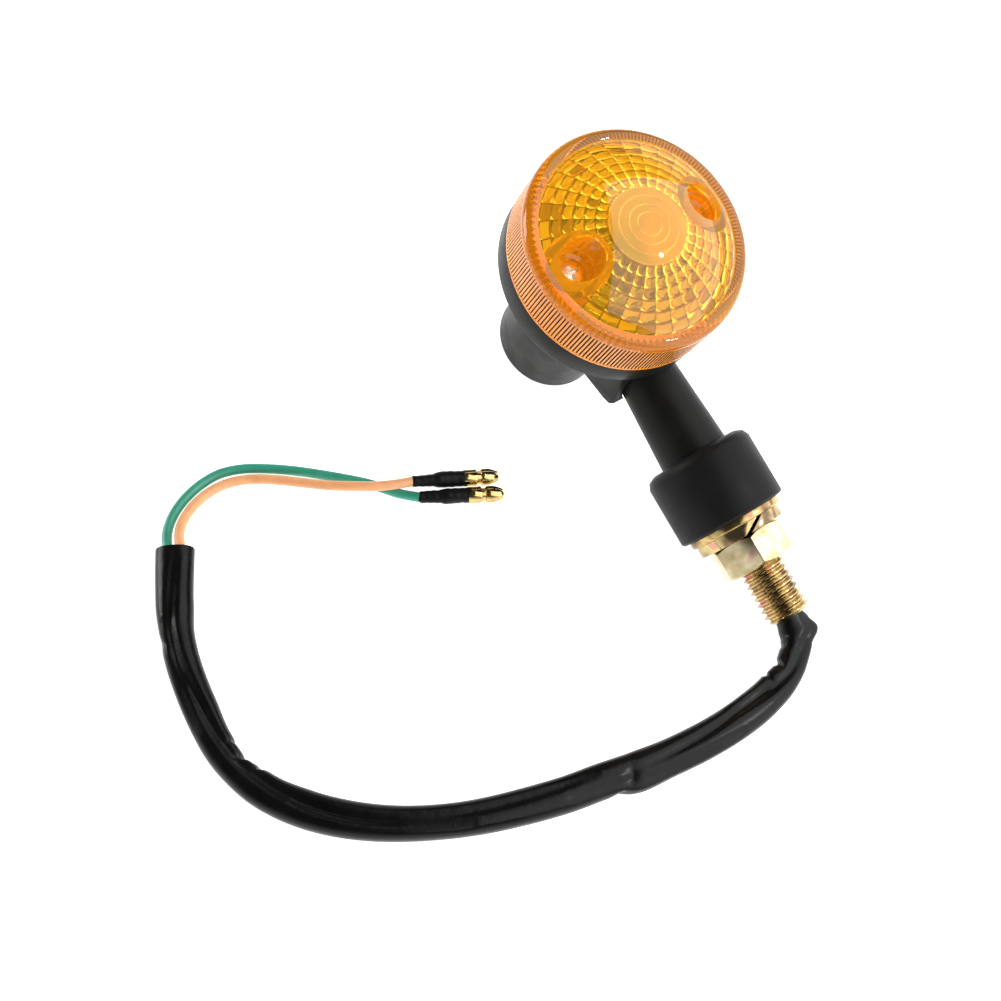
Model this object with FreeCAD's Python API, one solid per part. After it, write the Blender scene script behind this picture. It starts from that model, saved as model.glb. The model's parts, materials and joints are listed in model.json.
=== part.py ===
import FreeCAD, Part
import math
import os

# Small motorcycle turn signal, lying on a table on the rim of its bulb boss and the end of its stud.
# Sizes are in millimetres.  The rigid pieces are drawn in the head frame: the origin lies on the bulb
# axis at the rear edge of the housing's band, +Z runs out through the lens and +X runs along the stem
# towards the stud.  lay_down() then turns them: +Z is up from the table, +X still points to the stud.

os.makedirs("parts", exist_ok=True)
V = FreeCAD.Vector
ALONG_STEM = V(1, 0, 0)
OUT_OF_LENS = V(0, 0, 1)

# ---- Driving dimensions: head --------------------------------------------------------------------
BAND_R = 24.5            # housing band
BAND_TOP = 6.0           # where the lens sits on the band
WALL = 2.2               # moulded wall of lens and housing
LENS_BASE_R = 24.6
LENS_RIM_R = 24.4        # lens side, drawn in by the mould's draft
LENS_TOP = 18.0
LENS_FACE_R = 21.4       # edge of the domed face, inside the flat rim
LENS_DOME = 6.6          # rise of the face at its middle
LENS_EDGE = 2.0          # rounding of the lens rim
DOME_STEPS = 6           # points that the dome's curve is drawn through
SEAL_WIDTH = 1.4
SEAL_HEIGHT = 1.0

BOSS_R = 12.5            # cylinder behind the head that holds the bulb socket
BOSS_BORE_R = 10.9
BOSS_END = -39.4
BOSS_FLOOR = -37.2
BOSS_TOP = -17.0         # where the rear cone has run into the boss
BOSS_EDGE = 0.6
REAR_CURVE = [           # (radius, height) up the housing's outside from the boss to the band
    (BOSS_R, BOSS_TOP),
    (BOSS_R + 2.0, BOSS_TOP + 3.2),
    (BAND_R - 5.6, BOSS_TOP + 8.0),
    (BAND_R - 1.6, -3.2),
    (BAND_R - 0.9, 0),
    (BAND_R, 0),
]

SCREW_OFFSET = 15.5      # lens screws, each side of the bulb axis along Y
WELL_R = 4.5             # screwdriver well in the lens
WELL_BOSS_R = 6.4
WELL_FLOOR = 12.0
POST_R = 3.6             # housing post that the screw bites into
POST_TOP = 3.0
SCREW_R = 1.5
SCREW_HEAD_R = 2.7
SCREW_HEAD_HEIGHT = 2.0
SCREW_DOME_R = 3.65      # rounding of the head's top
SCREW_BITE = 9.0         # thread length inside the post
DRIVE_WIDTH = 0.8
DRIVE_REACH = 1.6        # half the length of each arm of the cross recess
DRIVE_DEPTH = 1.1

REFLECTOR_WALL = 0.8
REFLECTOR_HOLE_R = 10.2
REFLECTOR_BOTTOM = -2.0
REFLECTOR_TOP = 4.6
REFLECTOR_GAP = 0.4      # between the reflector's notches and the screw bosses

# ---- Driving dimensions: bulb and socket ---------------------------------------------------------
GLOBE_R = 8.6
GLOBE_Z = 3.5
BULB_NECK_R = 6.4
GLASS_WALL = 0.7
GLASS_FOOT = 2.5         # solid glass at the foot of the bulb, where the wires come through
CAP_R = 7.5
CAP_TOP = -9.0
CAP_BOTTOM = -23.0
CAP_WALL = 0.4
PIN_R = 1.0
PIN_Z = -17.0
PIN_REACH = 8.7
CAP_DISC_R = 6.4
CAP_DISC_THICK = 1.0
TIP_R = 2.0
TIP_HEIGHT = 0.9
FILAMENT_Z = 5.0
FILAMENT_SPAN = 6.0
FILAMENT_R = 0.35
SUPPORT_R = 0.25

SHELL_BORE_R = 7.65
SHELL_R = 8.1
SHELL_TOP = -11.0
SHELL_BOTTOM = -34.6
FLANGE_R = 10.8
FLANGE_TOP = -27.0
FLANGE_THICK = 0.8
LEDGE_R = 9.6
LEDGE_HEIGHT = 2.0
SLOT_TURN = 25.0         # sweep of the bayonet slot in degrees
SLOT_WIDTH = 2.6
PUSH_TRAVEL = 2.0
PLUNGER_R = 7.0
PLUNGER_THICK = 1.7
RIVET_R = 1.8
RIVET_LENGTH = 2.6
SPRING_MEAN_R = 5.2
SPRING_WIRE_R = 0.4
SPRING_TURNS = 4
SPRING_CLEARANCE = 0.02
BASE_DISC_THICK = 1.0
BASE_DISC_INSET = 0.3    # from the shell's bottom edge up to the disc
LEAD_HOLE_R = 1.5
LEAD_NOTCH_GAP = 0.1     # between the shell and the notch for the lead

# ---- Driving dimensions: stem, collar and stud ---------------------------------------------------
STEM_Z = -8.0            # stem axis below the band's rear edge
STEM_ROOT = 13.0
STEM_ROOT_R = 5.6
STEM_START = 22.3        # shoulder where the visible stem begins
STEM_START_R = 6.6
STEM_GAP = 0.4           # between the stem's shoulder and the housing
STEM_END_R = 7.86
COLLAR_START = 43.0
COLLAR_END = 59.4
COLLAR_R = 12.3
COLLAR_BEVEL = 2.2
COLLAR_EDGE = 0.5
COLLAR_GROOVE_R = 9.2
COLLAR_GROOVE_DEPTH = 1.6
WASHER_SEAT_R = 10.9     # the washer has pressed a shallow seat into the rubber
WASHER_SEAT_DEPTH = 0.3
STEM_TENON_R = 7.0
STEM_TENON_END = 56.0
STUD_START = 48.0
STUD_END = 83.4
STUD_R = 5.0             # M10 x 1.5
STUD_BORE_R = 3.3
STUD_CHAMFER = 0.7
NECK_R = 8.4
NECK_START = 9.0
NECK_END = 20.6
LUG_OUTER_Y = -8.8
LUG_INNER_Y = -5.6
LUG_TIP = 24.6
LUG_OUTLINE = [          # (distance along the stem, height above its axis) around the tongue
    (NECK_START + 6.0, 7.0),
    (NECK_END + 1.2, 6.4),
    (LUG_TIP - 0.6, -1.8),
    (LUG_TIP, -3.4),
    (LUG_TIP - 0.7, -5.2),
    (LUG_TIP - 2.4, -6.2),
    (NECK_START + 6.0, -8.2),
]
STEM_SCREW_R = 1.2
STEM_SCREW_X = 16.5
STEM_SCREW_HEAD = 1.2    # height of its head
STEM_SCREW_SLOT = 0.6    # width and depth of the slot in it

WASHER_R = 10.7
WASHER_THICK = 2.0
LOCK_WASHER_R = 9.9
LOCK_WASHER_THICK = 2.4
LOCK_WASHER_SPLIT = 0.7
SPLIT_LEAN = 60.0        # of the split from the stud's axis, in degrees
SPLIT_TURN = -80.0       # how far round the stud the split stands, in degrees
WASHER_HOLE_R = 5.25
NUT_FLATS = 15.0
NUT_THICK = 7.4
NUT_FACE_R = 7.2         # round face left by the chamfer on the nut's corners
NUT_HOLE_R = 5.06
NUT_TURN = 21.3          # how far the nut stands turned about the stud, in degrees

# ---- Driving dimensions: leads -------------------------------------------------------------------
SLEEVE_R = 3.2
SLEEVE_INSIDE = 3.5      # length of sleeve that is inside the stud
SLEEVE_STRAIGHT = 3.4    # from the stud's end to the corner of the sleeve's first bend
WIRE_R = 1.1
LEAD_X = 9.6             # where the leads climb past the socket
LEAD_Y = 1.25
LEAD_BEND = 4.0
LEAD_FLOOR = -35.9
SHRINK_R = 1.65
BULLET_R = 1.95
BULLET_SECTIONS = [      # (length, radius at its start, radius at its end) from wire to tip
    (3.0, BULLET_R, BULLET_R),
    (1.2, 1.4, 1.4),
    (2.0, BULLET_R, BULLET_R),
    (1.8, BULLET_R, 1.2),
]
BULLET_LENGTH = sum(length for length, _, _ in BULLET_SECTIONS)
LIVE_LEAD_BEND = 1.8     # of the lead's bends under the socket
ARC_SHARE = 0.45         # part of the shorter run that each arc of a cord takes

# Where the loose leads lie on the table, in the laid-down frame.
SLEEVE_ROUTE = [
    (57.8, -6.0, 3.25),
    (60.6, -13.0, 3.25),
    (61.7, -21.6, 3.25),
    (61.6, -32.0, 3.25),
    (59.9, -44.6, 3.25),
    (56.9, -57.8, 3.25),
    (53.2, -71.0, 3.25),
    (47.8, -85.0, 3.25),
    (39.0, -99.6, 3.25),
    (27.4, -110.6, 3.25),
    (14.4, -115.9, 3.25),
    (0.6, -115.3, 3.25),
    (-12.6, -112.9, 3.25),
    (-23.6, -108.3, 3.25),
    (-33.8, -102.8, 3.25),
]
GREEN_ROUTE = [
    (-34.4, -104.0, 2.1),
    (-39.5, -101.7, 1.3),
    (-44.4, -97.4, 1.2),
    (-47.2, -91.7, 1.15),
    (-47.6, -85.4, 1.15),
    (-45.7, -79.3, 1.15),
    (-41.9, -73.5, 1.15),
    (-37.1, -67.8, 1.15),
    (-32.0, -62.2, 1.15),
    (-27.0, -58.0, 1.15),
    (-22.3, -55.2, 1.3),
    (-18.5, -50.7, 2.0),
]
ORANGE_ROUTE = [
    (-33.2, -101.7, 3.6),
    (-38.2, -99.7, 2.6),
    (-42.3, -96.3, 1.6),
    (-44.6, -91.4, 1.15),
    (-44.6, -85.5, 1.15),
    (-42.1, -79.7, 1.15),
    (-38.1, -74.3, 1.15),
    (-33.6, -69.0, 1.9),
    (-29.8, -63.4, 4.5),
    (-25.6, -56.4, 4.8),
    (-22.2, -50.4, 3.4),
]
GREEN_TERMINAL = (-9.5, -34.2, 2.0)      # tip of the green wire's bullet
ORANGE_TERMINAL = (-14.0, -32.6, 2.0)    # tip of the orange wire's bullet


# ---- Shape helpers -------------------------------------------------------------------------------
def spin_z(points):
    """A solid turned about the bulb axis from (radius, height) points."""
    outline = Part.makePolygon([V(r, 0, z) for r, z in points + points[:1]])
    return Part.Face(outline).revolve(V(), OUT_OF_LENS, 360)


def spin_x(points):
    """A solid turned about the stem axis from (distance along the stem, radius) points."""
    outline = Part.makePolygon([V(x, 0, STEM_Z + r) for x, r in points + points[:1]])
    return Part.Face(outline).revolve(V(0, 0, STEM_Z), ALONG_STEM, 360)


def tube_z(outer_r, inner_r, bottom, top, centre=(0, 0)):
    base = V(centre[0], centre[1], bottom)
    outer = Part.makeCylinder(outer_r, top - bottom, base, OUT_OF_LENS)
    if inner_r == 0:
        return outer
    return outer.cut(Part.makeCylinder(inner_r, top - bottom, base, OUT_OF_LENS))


def rod_x(radius, start, end, y=0.0):
    return Part.makeCylinder(radius, end - start, V(start, y, STEM_Z), ALONG_STEM)


def box(low, high):
    size = [b - a for a, b in zip(low, high)]
    return Part.makeBox(size[0], size[1], size[2], V(*low))


def rounded_path(points, radii):
    """Straight runs joined by tangent arcs, one radius for each inner point."""
    points = [V(*p) for p in points]
    edges = []
    start = points[0]
    for before, corner, after, radius in zip(points, points[1:], points[2:], radii):
        incoming = (before - corner).normalize()
        outgoing = (after - corner).normalize()
        half_turn = (math.pi - incoming.getAngle(outgoing)) / 2
        reach = radius * math.tan(half_turn)
        enter = corner + incoming * reach
        leave = corner + outgoing * reach
        centre = corner + (incoming + outgoing).normalize() * (radius / math.cos(half_turn))
        middle = centre + (corner - centre).normalize() * radius
        edges.append(Part.LineSegment(start, enter).toShape())
        edges.append(Part.Arc(enter, middle, leave).toShape())
        start = leave
    edges.append(Part.LineSegment(start, points[-1]).toShape())
    return Part.Wire(edges)


def round_tube(points, radii, tube_r):
    path = rounded_path(points, radii)
    start = V(*points[0])
    heading = V(*points[1]) - start
    section = Part.Wire(Part.makeCircle(tube_r, start, heading))
    return path.makePipeShell([section], True, False), path.Length


def cord_radii(points):
    """The arc at each inner point is as large as its two runs allow."""
    radii = []
    points = [V(*p) for p in points]
    for before, corner, after in zip(points, points[1:], points[2:]):
        turn = (corner - before).getAngle(after - corner)
        shorter = min((corner - before).Length, (after - corner).Length)
        radii.append(ARC_SHARE * shorter / math.tan(turn / 2))
    return radii


def cord(name, points, tube_r):
    radii = cord_radii(points)
    solid, length = round_tube(points, radii, tube_r)
    ideal = math.pi * tube_r**2 * length
    print(f"{name}: length {length:.1f}, volume {solid.Volume / ideal:.4f} of section times length")
    print(f"  radii {' '.join(f'{r:.1f}' for r in radii)}")
    return solid


# ---- Head ----------------------------------------------------------------------------------------
def screw_places():
    return [(0, -SCREW_OFFSET), (0, SCREW_OFFSET)]


def domed_cup(inset):
    """The lens's outer form, or with an inset its hollow: tapered side, rounded rim, domed face."""
    top = LENS_TOP - inset
    edge = max(LENS_EDGE - inset, 0.5)
    side_r = LENS_RIM_R - inset
    face_r = LENS_FACE_R - inset / 2
    corner = edge * (1 - math.sqrt(0.5))
    shares = [1 - i / DOME_STEPS for i in range(DOME_STEPS + 1)]
    dome = Part.BSplineCurve()
    dome.interpolate([V(face_r * share, 0, top + LENS_DOME * (1 - share**2)) for share in shares])
    outline = [
        Part.LineSegment(V(0, 0, top + LENS_DOME), V(0, 0, BAND_TOP)),
        Part.LineSegment(V(0, 0, BAND_TOP), V(LENS_BASE_R - inset, 0, BAND_TOP)),
        Part.LineSegment(V(LENS_BASE_R - inset, 0, BAND_TOP), V(side_r, 0, top - edge)),
        Part.Arc(V(side_r, 0, top - edge), V(side_r - corner, 0, top - corner), V(side_r - edge, 0, top)),
        Part.LineSegment(V(side_r - edge, 0, top), V(face_r, 0, top)),
        dome,
    ]
    return Part.Face(Part.Wire([piece.toShape() for piece in outline])).revolve(V(), OUT_OF_LENS, 360)


def make_lens():
    outside = domed_cup(0)
    body = outside.cut(domed_cup(WALL))
    apex = LENS_TOP + LENS_DOME
    for place in screw_places():
        boss = tube_z(WELL_BOSS_R, 0, POST_TOP, apex, place)
        body = body.fuse(boss.common(outside.fuse(tube_z(LENS_BASE_R, 0, POST_TOP, BAND_TOP))))
    for place in screw_places():
        body = body.cut(tube_z(WELL_R, 0, WELL_FLOOR, apex, place))
        body = body.cut(tube_z(SCREW_R, 0, POST_TOP, WELL_FLOOR, place))
    return body.removeSplitter()


def make_seal():
    outer = BAND_R - WALL + SEAL_WIDTH
    return tube_z(outer, BAND_R - WALL, BAND_TOP - SEAL_HEIGHT, BAND_TOP)


def make_reflector():
    outer_r = BAND_R - WALL - REFLECTOR_GAP
    lip = REFLECTOR_HOLE_R - REFLECTOR_WALL
    bowl = spin_z([
        (REFLECTOR_HOLE_R, REFLECTOR_BOTTOM),
        (outer_r, REFLECTOR_TOP),
        (outer_r, REFLECTOR_TOP + REFLECTOR_WALL),
        (REFLECTOR_HOLE_R, REFLECTOR_BOTTOM + REFLECTOR_WALL),
        (lip, REFLECTOR_BOTTOM + REFLECTOR_WALL),
        (lip, REFLECTOR_BOTTOM),
    ])
    notch_r = WELL_BOSS_R + REFLECTOR_GAP
    for place in screw_places():
        bowl = bowl.cut(tube_z(notch_r, 0, REFLECTOR_BOTTOM, LENS_TOP, place))
    return max(bowl.Solids, key=lambda solid: solid.Volume)


def rear_outline(inset, top):
    """Half outline of the housing, drawn in by a wall thickness, from the bulb axis up to the band."""
    foot = [(0, BOSS_END), (BOSS_R - BOSS_EDGE, BOSS_END), (BOSS_R, BOSS_END + BOSS_EDGE)]
    curve = REAR_CURVE
    if inset:
        foot = [(0, BOSS_FLOOR), (BOSS_BORE_R, BOSS_FLOOR), (BOSS_BORE_R, BOSS_TOP + inset / 2)]
        curve = [(r - inset, z + inset / 2) for r, z in REAR_CURVE[1:]]
    return foot + curve + [(BAND_R - inset, top), (0, top)]


def make_housing():
    shell = spin_z(rear_outline(0, BAND_TOP))
    neck = rod_x(NECK_R, NECK_START, NECK_END).fuse(make_lug())
    shell = shell.fuse(neck)
    shell = shell.cut(spin_z(rear_outline(WALL, BAND_TOP)))
    rebate_r = BAND_R - WALL + SEAL_WIDTH
    shell = shell.cut(tube_z(rebate_r, 0, BAND_TOP - SEAL_HEIGHT, BAND_TOP))
    ledge = tube_z(BOSS_BORE_R + 0.2, LEDGE_R, FLANGE_TOP - FLANGE_THICK - LEDGE_HEIGHT,
                   FLANGE_TOP - FLANGE_THICK)
    shell = shell.fuse(ledge.cut(lead_notch()))
    for place in screw_places():
        post = tube_z(POST_R, 0, BOSS_TOP, POST_TOP, place)
        shell = shell.fuse(post.common(spin_z(rear_outline(WALL / 2, POST_TOP))))
    for place in screw_places():
        shell = shell.cut(tube_z(SCREW_R, 0, POST_TOP - SCREW_BITE, POST_TOP, place))
    shell = shell.cut(rod_x(STEM_ROOT_R, STEM_ROOT, LUG_TIP + 1))
    shell = shell.cut(rod_x(STEM_START_R + STEM_GAP, STEM_START - STEM_GAP, LUG_TIP + 1))
    shell = shell.cut(stem_screw_hole())
    return max(shell.removeSplitter().Solids, key=lambda solid: solid.Volume)


def make_lug():
    """Tapered tongue beside the root of the stem."""
    points = [V(x, LUG_OUTER_Y, STEM_Z + rise) for x, rise in LUG_OUTLINE + LUG_OUTLINE[:1]]
    face = Part.Face(Part.makePolygon(points))
    return face.extrude(V(0, LUG_INNER_Y - LUG_OUTER_Y, 0))


def lead_notch():
    """Room in the socket's flange and ledge for the lead that comes up from the socket's base."""
    low_z = FLANGE_TOP - FLANGE_THICK - LEDGE_HEIGHT
    near = (SHELL_R + LEAD_NOTCH_GAP, LEAD_NOTCH_GAP / 2, low_z)
    return box(near, (BOSS_R, LEAD_Y + WIRE_R + 2 * LEAD_NOTCH_GAP, FLANGE_TOP))


def stem_screw_hole():
    base = V(STEM_SCREW_X, 0, STEM_Z - NECK_R)
    return Part.makeCylinder(STEM_SCREW_R, NECK_R - STUD_BORE_R - STEM_SCREW_R / 2, base, OUT_OF_LENS)


def make_stem_screw():
    shank = stem_screw_hole()
    top = STEM_Z - NECK_R
    bottom = V(STEM_SCREW_X, 0, top - STEM_SCREW_HEAD)
    head = Part.makeCylinder(2 * STEM_SCREW_R, STEM_SCREW_HEAD, bottom, OUT_OF_LENS)
    half = STEM_SCREW_SLOT / 2
    low = (STEM_SCREW_X - 3 * STEM_SCREW_R, -half, bottom.z)
    high = (STEM_SCREW_X + 3 * STEM_SCREW_R, half, bottom.z + STEM_SCREW_SLOT)
    return head.cut(box(low, high)).fuse(shank).removeSplitter()


def make_lens_screws():
    screws = []
    for x, y in screw_places():
        top = WELL_FLOOR + SCREW_HEAD_HEIGHT
        head = tube_z(SCREW_HEAD_R, 0, WELL_FLOOR, top, (x, y))
        head = head.common(Part.makeSphere(SCREW_DOME_R, V(x, y, top - SCREW_DOME_R)))
        arm, half = DRIVE_REACH, DRIVE_WIDTH / 2
        for long_x, long_y in ((arm, half), (half, arm)):
            low = (x - long_x, y - long_y, top - DRIVE_DEPTH)
            head = head.cut(box(low, (x + long_x, y + long_y, top)))
        shank = tube_z(SCREW_R, 0, POST_TOP - SCREW_BITE, WELL_FLOOR, (x, y))
        screws.append(head.fuse(shank).removeSplitter())
    return Part.makeCompound(screws)


# ---- Bulb and socket -----------------------------------------------------------------------------
def make_bulb_glass():
    globe = Part.makeSphere(GLOBE_R, V(0, 0, GLOBE_Z))
    neck = tube_z(BULB_NECK_R, 0, CAP_TOP, GLOBE_Z)
    inner_globe = Part.makeSphere(GLOBE_R - GLASS_WALL, V(0, 0, GLOBE_Z))
    inner_neck = tube_z(BULB_NECK_R - GLASS_WALL, 0, CAP_TOP + GLASS_FOOT, GLOBE_Z)
    return globe.fuse(neck).cut(inner_globe.fuse(inner_neck)).removeSplitter()


def make_bulb_base():
    cap = tube_z(CAP_R, 0, CAP_BOTTOM, CAP_TOP)
    return cap.cut(tube_z(CAP_R - CAP_WALL, 0, CAP_BOTTOM + CAP_WALL, CAP_TOP))


def make_bayonet_pins():
    pins = []
    for sign in (-1, 1):
        start = V(0, sign * CAP_R, PIN_Z)
        pins.append(Part.makeCylinder(PIN_R, PIN_REACH - CAP_R, start, V(0, sign, 0)))
    return Part.makeCompound(pins)


def make_bulb_filament():
    """Two support wires and the coiled filament, drawn as its outer rod."""
    bottom = CAP_TOP + GLASS_FOOT
    start = V(0, -FILAMENT_SPAN / 2, FILAMENT_Z)
    pieces = Part.makeCylinder(FILAMENT_R, FILAMENT_SPAN, start, V(0, 1, 0))
    for sign in (-1, 1):
        foot = V(0, sign * FILAMENT_SPAN / 2, bottom)
        pieces = pieces.fuse(Part.makeCylinder(SUPPORT_R, FILAMENT_Z - bottom, foot, OUT_OF_LENS))
    return pieces.removeSplitter()


def make_bulb_insulator():
    return tube_z(CAP_DISC_R, 0, CAP_BOTTOM - CAP_DISC_THICK, CAP_BOTTOM)


def tip_bottom():
    return CAP_BOTTOM - CAP_DISC_THICK - TIP_HEIGHT


def make_bulb_contact():
    return tube_z(TIP_R, 0, tip_bottom(), CAP_BOTTOM - CAP_DISC_THICK)


def make_socket_shell():
    """Bayonet shell: each pin has a way in from the mouth and room to turn and to be pushed."""
    shell = tube_z(SHELL_R, SHELL_BORE_R, SHELL_BOTTOM, SHELL_TOP)
    flange = tube_z(FLANGE_R, SHELL_BORE_R, FLANGE_TOP - FLANGE_THICK, FLANGE_TOP)
    shell = shell.fuse(flange).cut(lead_notch())
    slot_low = PIN_Z - PUSH_TRAVEL - SLOT_WIDTH / 2
    slot_high = PIN_Z + SLOT_WIDTH / 2
    side = math.degrees(math.asin(SLOT_WIDTH / 2 / SHELL_R))
    for facing in (90, 270):
        leg = Part.makeCylinder(SHELL_R + 0.5, slot_high - slot_low, V(0, 0, slot_low), OUT_OF_LENS,
                                SLOT_TURN + 2 * side)
        leg.rotate(V(), OUT_OF_LENS, facing - side)
        mouth = box((-SLOT_WIDTH / 2, 0, slot_low), (SLOT_WIDTH / 2, SHELL_R + 0.5, SHELL_TOP))
        mouth.rotate(V(), OUT_OF_LENS, facing - 90 + SLOT_TURN)
        shell = shell.cut(leg.cut(tube_z(SHELL_BORE_R - 1, 0, slot_low, slot_high)))
        shell = shell.cut(mouth.cut(tube_z(SHELL_BORE_R - 1, 0, slot_low, SHELL_TOP)))
    return shell.removeSplitter()


def make_plunger():
    top = tip_bottom()
    return tube_z(PLUNGER_R, RIVET_R, top - PLUNGER_THICK, top)


def make_plunger_rivet():
    top = tip_bottom()
    return tube_z(RIVET_R, 0, top - RIVET_LENGTH, top)


def spring_seat():
    return SHELL_BOTTOM + BASE_DISC_INSET + BASE_DISC_THICK


def make_socket_base():
    return tube_z(SHELL_BORE_R, LEAD_HOLE_R, SHELL_BOTTOM + BASE_DISC_INSET, spring_seat())


def make_contact_spring():
    top = tip_bottom() - PLUNGER_THICK
    low = spring_seat() + SPRING_WIRE_R + SPRING_CLEARANCE
    height = top - SPRING_WIRE_R - SPRING_CLEARANCE - low
    helix = Part.makeHelix(height / SPRING_TURNS, height, SPRING_MEAN_R)
    helix.translate(V(0, 0, low))
    start = V(SPRING_MEAN_R, 0, low)
    section = Part.Wire(Part.makeCircle(SPRING_WIRE_R, start, V(0, 1, 0)))
    return Part.Wire(helix).makePipeShell([section], True, True)


def make_inner_leads():
    """The two leads from the socket, up past it and along the bored stem to the sleeve."""
    last_x = STUD_END - SLEEVE_INSIDE
    rivet_end = tip_bottom() - RIVET_LENGTH
    live, _ = round_tube([
        (0, 0, rivet_end),
        (0, 0, LEAD_FLOOR),
        (LEAD_X, LEAD_Y, LEAD_FLOOR),
        (LEAD_X, LEAD_Y, STEM_Z),
        (last_x, LEAD_Y, STEM_Z),
    ], [LIVE_LEAD_BEND, LIVE_LEAD_BEND, LEAD_BEND], WIRE_R)
    earth, _ = round_tube([
        (LEAD_X, -LEAD_Y, FLANGE_TOP),
        (LEAD_X, -LEAD_Y, STEM_Z),
        (last_x, -LEAD_Y, STEM_Z),
    ], [LEAD_BEND], WIRE_R)
    return {"orange_inner_lead": live, "green_inner_lead": earth}


# ---- Stem, collar, stud and fasteners ------------------------------------------------------------
def make_stem():
    stem = spin_x([
        (STEM_ROOT, 0),
        (STEM_ROOT, STEM_ROOT_R),
        (STEM_START, STEM_ROOT_R),
        (STEM_START, STEM_START_R),
        (COLLAR_START + COLLAR_GROOVE_DEPTH, STEM_END_R),
        (COLLAR_START + COLLAR_GROOVE_DEPTH, STEM_TENON_R),
        (STEM_TENON_END, STEM_TENON_R),
        (STEM_TENON_END, 0),
    ])
    stem = stem.cut(rod_x(STUD_BORE_R, STEM_ROOT, STUD_START))
    stem = stem.cut(rod_x(STUD_R, STUD_START, STEM_TENON_END))
    return stem.cut(stem_screw_hole())


def make_collar():
    groove_floor = COLLAR_START + COLLAR_GROOVE_DEPTH
    return spin_x([
        (groove_floor, STEM_TENON_R),
        (groove_floor, COLLAR_GROOVE_R),
        (COLLAR_START, COLLAR_GROOVE_R),
        (COLLAR_START, COLLAR_R - COLLAR_BEVEL),
        (COLLAR_START + 0.35 * COLLAR_BEVEL, COLLAR_R - 0.3 * COLLAR_BEVEL),
        (COLLAR_START + COLLAR_BEVEL, COLLAR_R),
        (COLLAR_END - COLLAR_EDGE, COLLAR_R),
        (COLLAR_END, COLLAR_R - COLLAR_EDGE),
        (COLLAR_END, WASHER_SEAT_R),
        (washer_start(), WASHER_SEAT_R),
        (washer_start(), STUD_R),
        (STEM_TENON_END, STUD_R),
        (STEM_TENON_END, STEM_TENON_R),
    ])


def make_stud():
    return spin_x([
        (STUD_START, STUD_BORE_R),
        (STUD_START, STUD_R),
        (STUD_END - STUD_CHAMFER, STUD_R),
        (STUD_END, STUD_R - STUD_CHAMFER),
        (STUD_END, STUD_BORE_R),
    ])


def washer_start():
    return COLLAR_END - WASHER_SEAT_DEPTH


def make_flat_washer():
    start = washer_start()
    ring = rod_x(WASHER_R, start, start + WASHER_THICK)
    return ring.cut(rod_x(WASHER_HOLE_R, start, start + WASHER_THICK))


def make_spring_washer():
    start = washer_start() + WASHER_THICK
    end = start + LOCK_WASHER_THICK
    ring = rod_x(LOCK_WASHER_R, start, end).cut(rod_x(WASHER_HOLE_R, start, end))
    reach = 2 * LOCK_WASHER_THICK
    split = box((start - reach, -LOCK_WASHER_R - 1, STEM_Z - LOCK_WASHER_SPLIT / 2),
                (end + reach, -WASHER_HOLE_R + 1, STEM_Z + LOCK_WASHER_SPLIT / 2))
    split.rotate(V((start + end) / 2, 0, STEM_Z), V(0, 1, 0), SPLIT_LEAN)
    split.rotate(V(0, 0, STEM_Z), ALONG_STEM, SPLIT_TURN)
    return ring.cut(split)


def nut_start():
    return washer_start() + WASHER_THICK + LOCK_WASHER_THICK


def make_nut():
    corner_r = NUT_FLATS / math.sqrt(3)
    start = nut_start()
    end = start + NUT_THICK
    angles = [math.radians(NUT_TURN + 60 * i) for i in range(7)]
    corners = [V(start, corner_r * math.sin(a), STEM_Z - corner_r * math.cos(a)) for a in angles]
    prism = Part.Face(Part.makePolygon(corners)).extrude(V(NUT_THICK, 0, 0))
    bevel = (corner_r - NUT_FACE_R) * math.tan(math.radians(30))
    rounded = spin_x([
        (start, 0),
        (start, NUT_FACE_R),
        (start + bevel, corner_r),
        (end - bevel, corner_r),
        (end, NUT_FACE_R),
        (end, 0),
    ])
    return prism.common(rounded).cut(rod_x(NUT_HOLE_R, start, end))


# ---- Terminals on the loose wires ----------------------------------------------------------------
def turned_section(start, along, length, start_r, end_r):
    if start_r == end_r:
        return Part.makeCylinder(start_r, length, start, along)
    return Part.makeCone(start_r, end_r, length, start, along)


def terminal(wire_end, tip):
    """Heat-shrink sleeve and bullet terminal from the wire's end to the bullet's tip."""
    start = V(*wire_end)
    end = V(*tip)
    along = (end - start).normalize()
    shrink_length = (end - start).Length - BULLET_LENGTH
    shrink = Part.makeCylinder(SHRINK_R, shrink_length, start, along)
    reached = start + along * shrink_length
    sections = []
    for length, start_r, end_r in BULLET_SECTIONS:
        sections.append(turned_section(reached, along, length, start_r, end_r))
        reached = reached + along * length
    bullet = sections[0].multiFuse(sections[1:])
    return shrink, bullet.removeSplitter()


# ---- Laying the object down ----------------------------------------------------------------------
def rest_tilt():
    """Tilt at which the boss rim and the end of the stud both touch the table."""
    stud_x = STUD_END - STUD_CHAMFER
    stud_z = STEM_Z - STUD_R
    boss_z = BOSS_END + BOSS_EDGE / 2
    return math.atan2(stud_z - boss_z, stud_x - BOSS_R)


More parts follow.
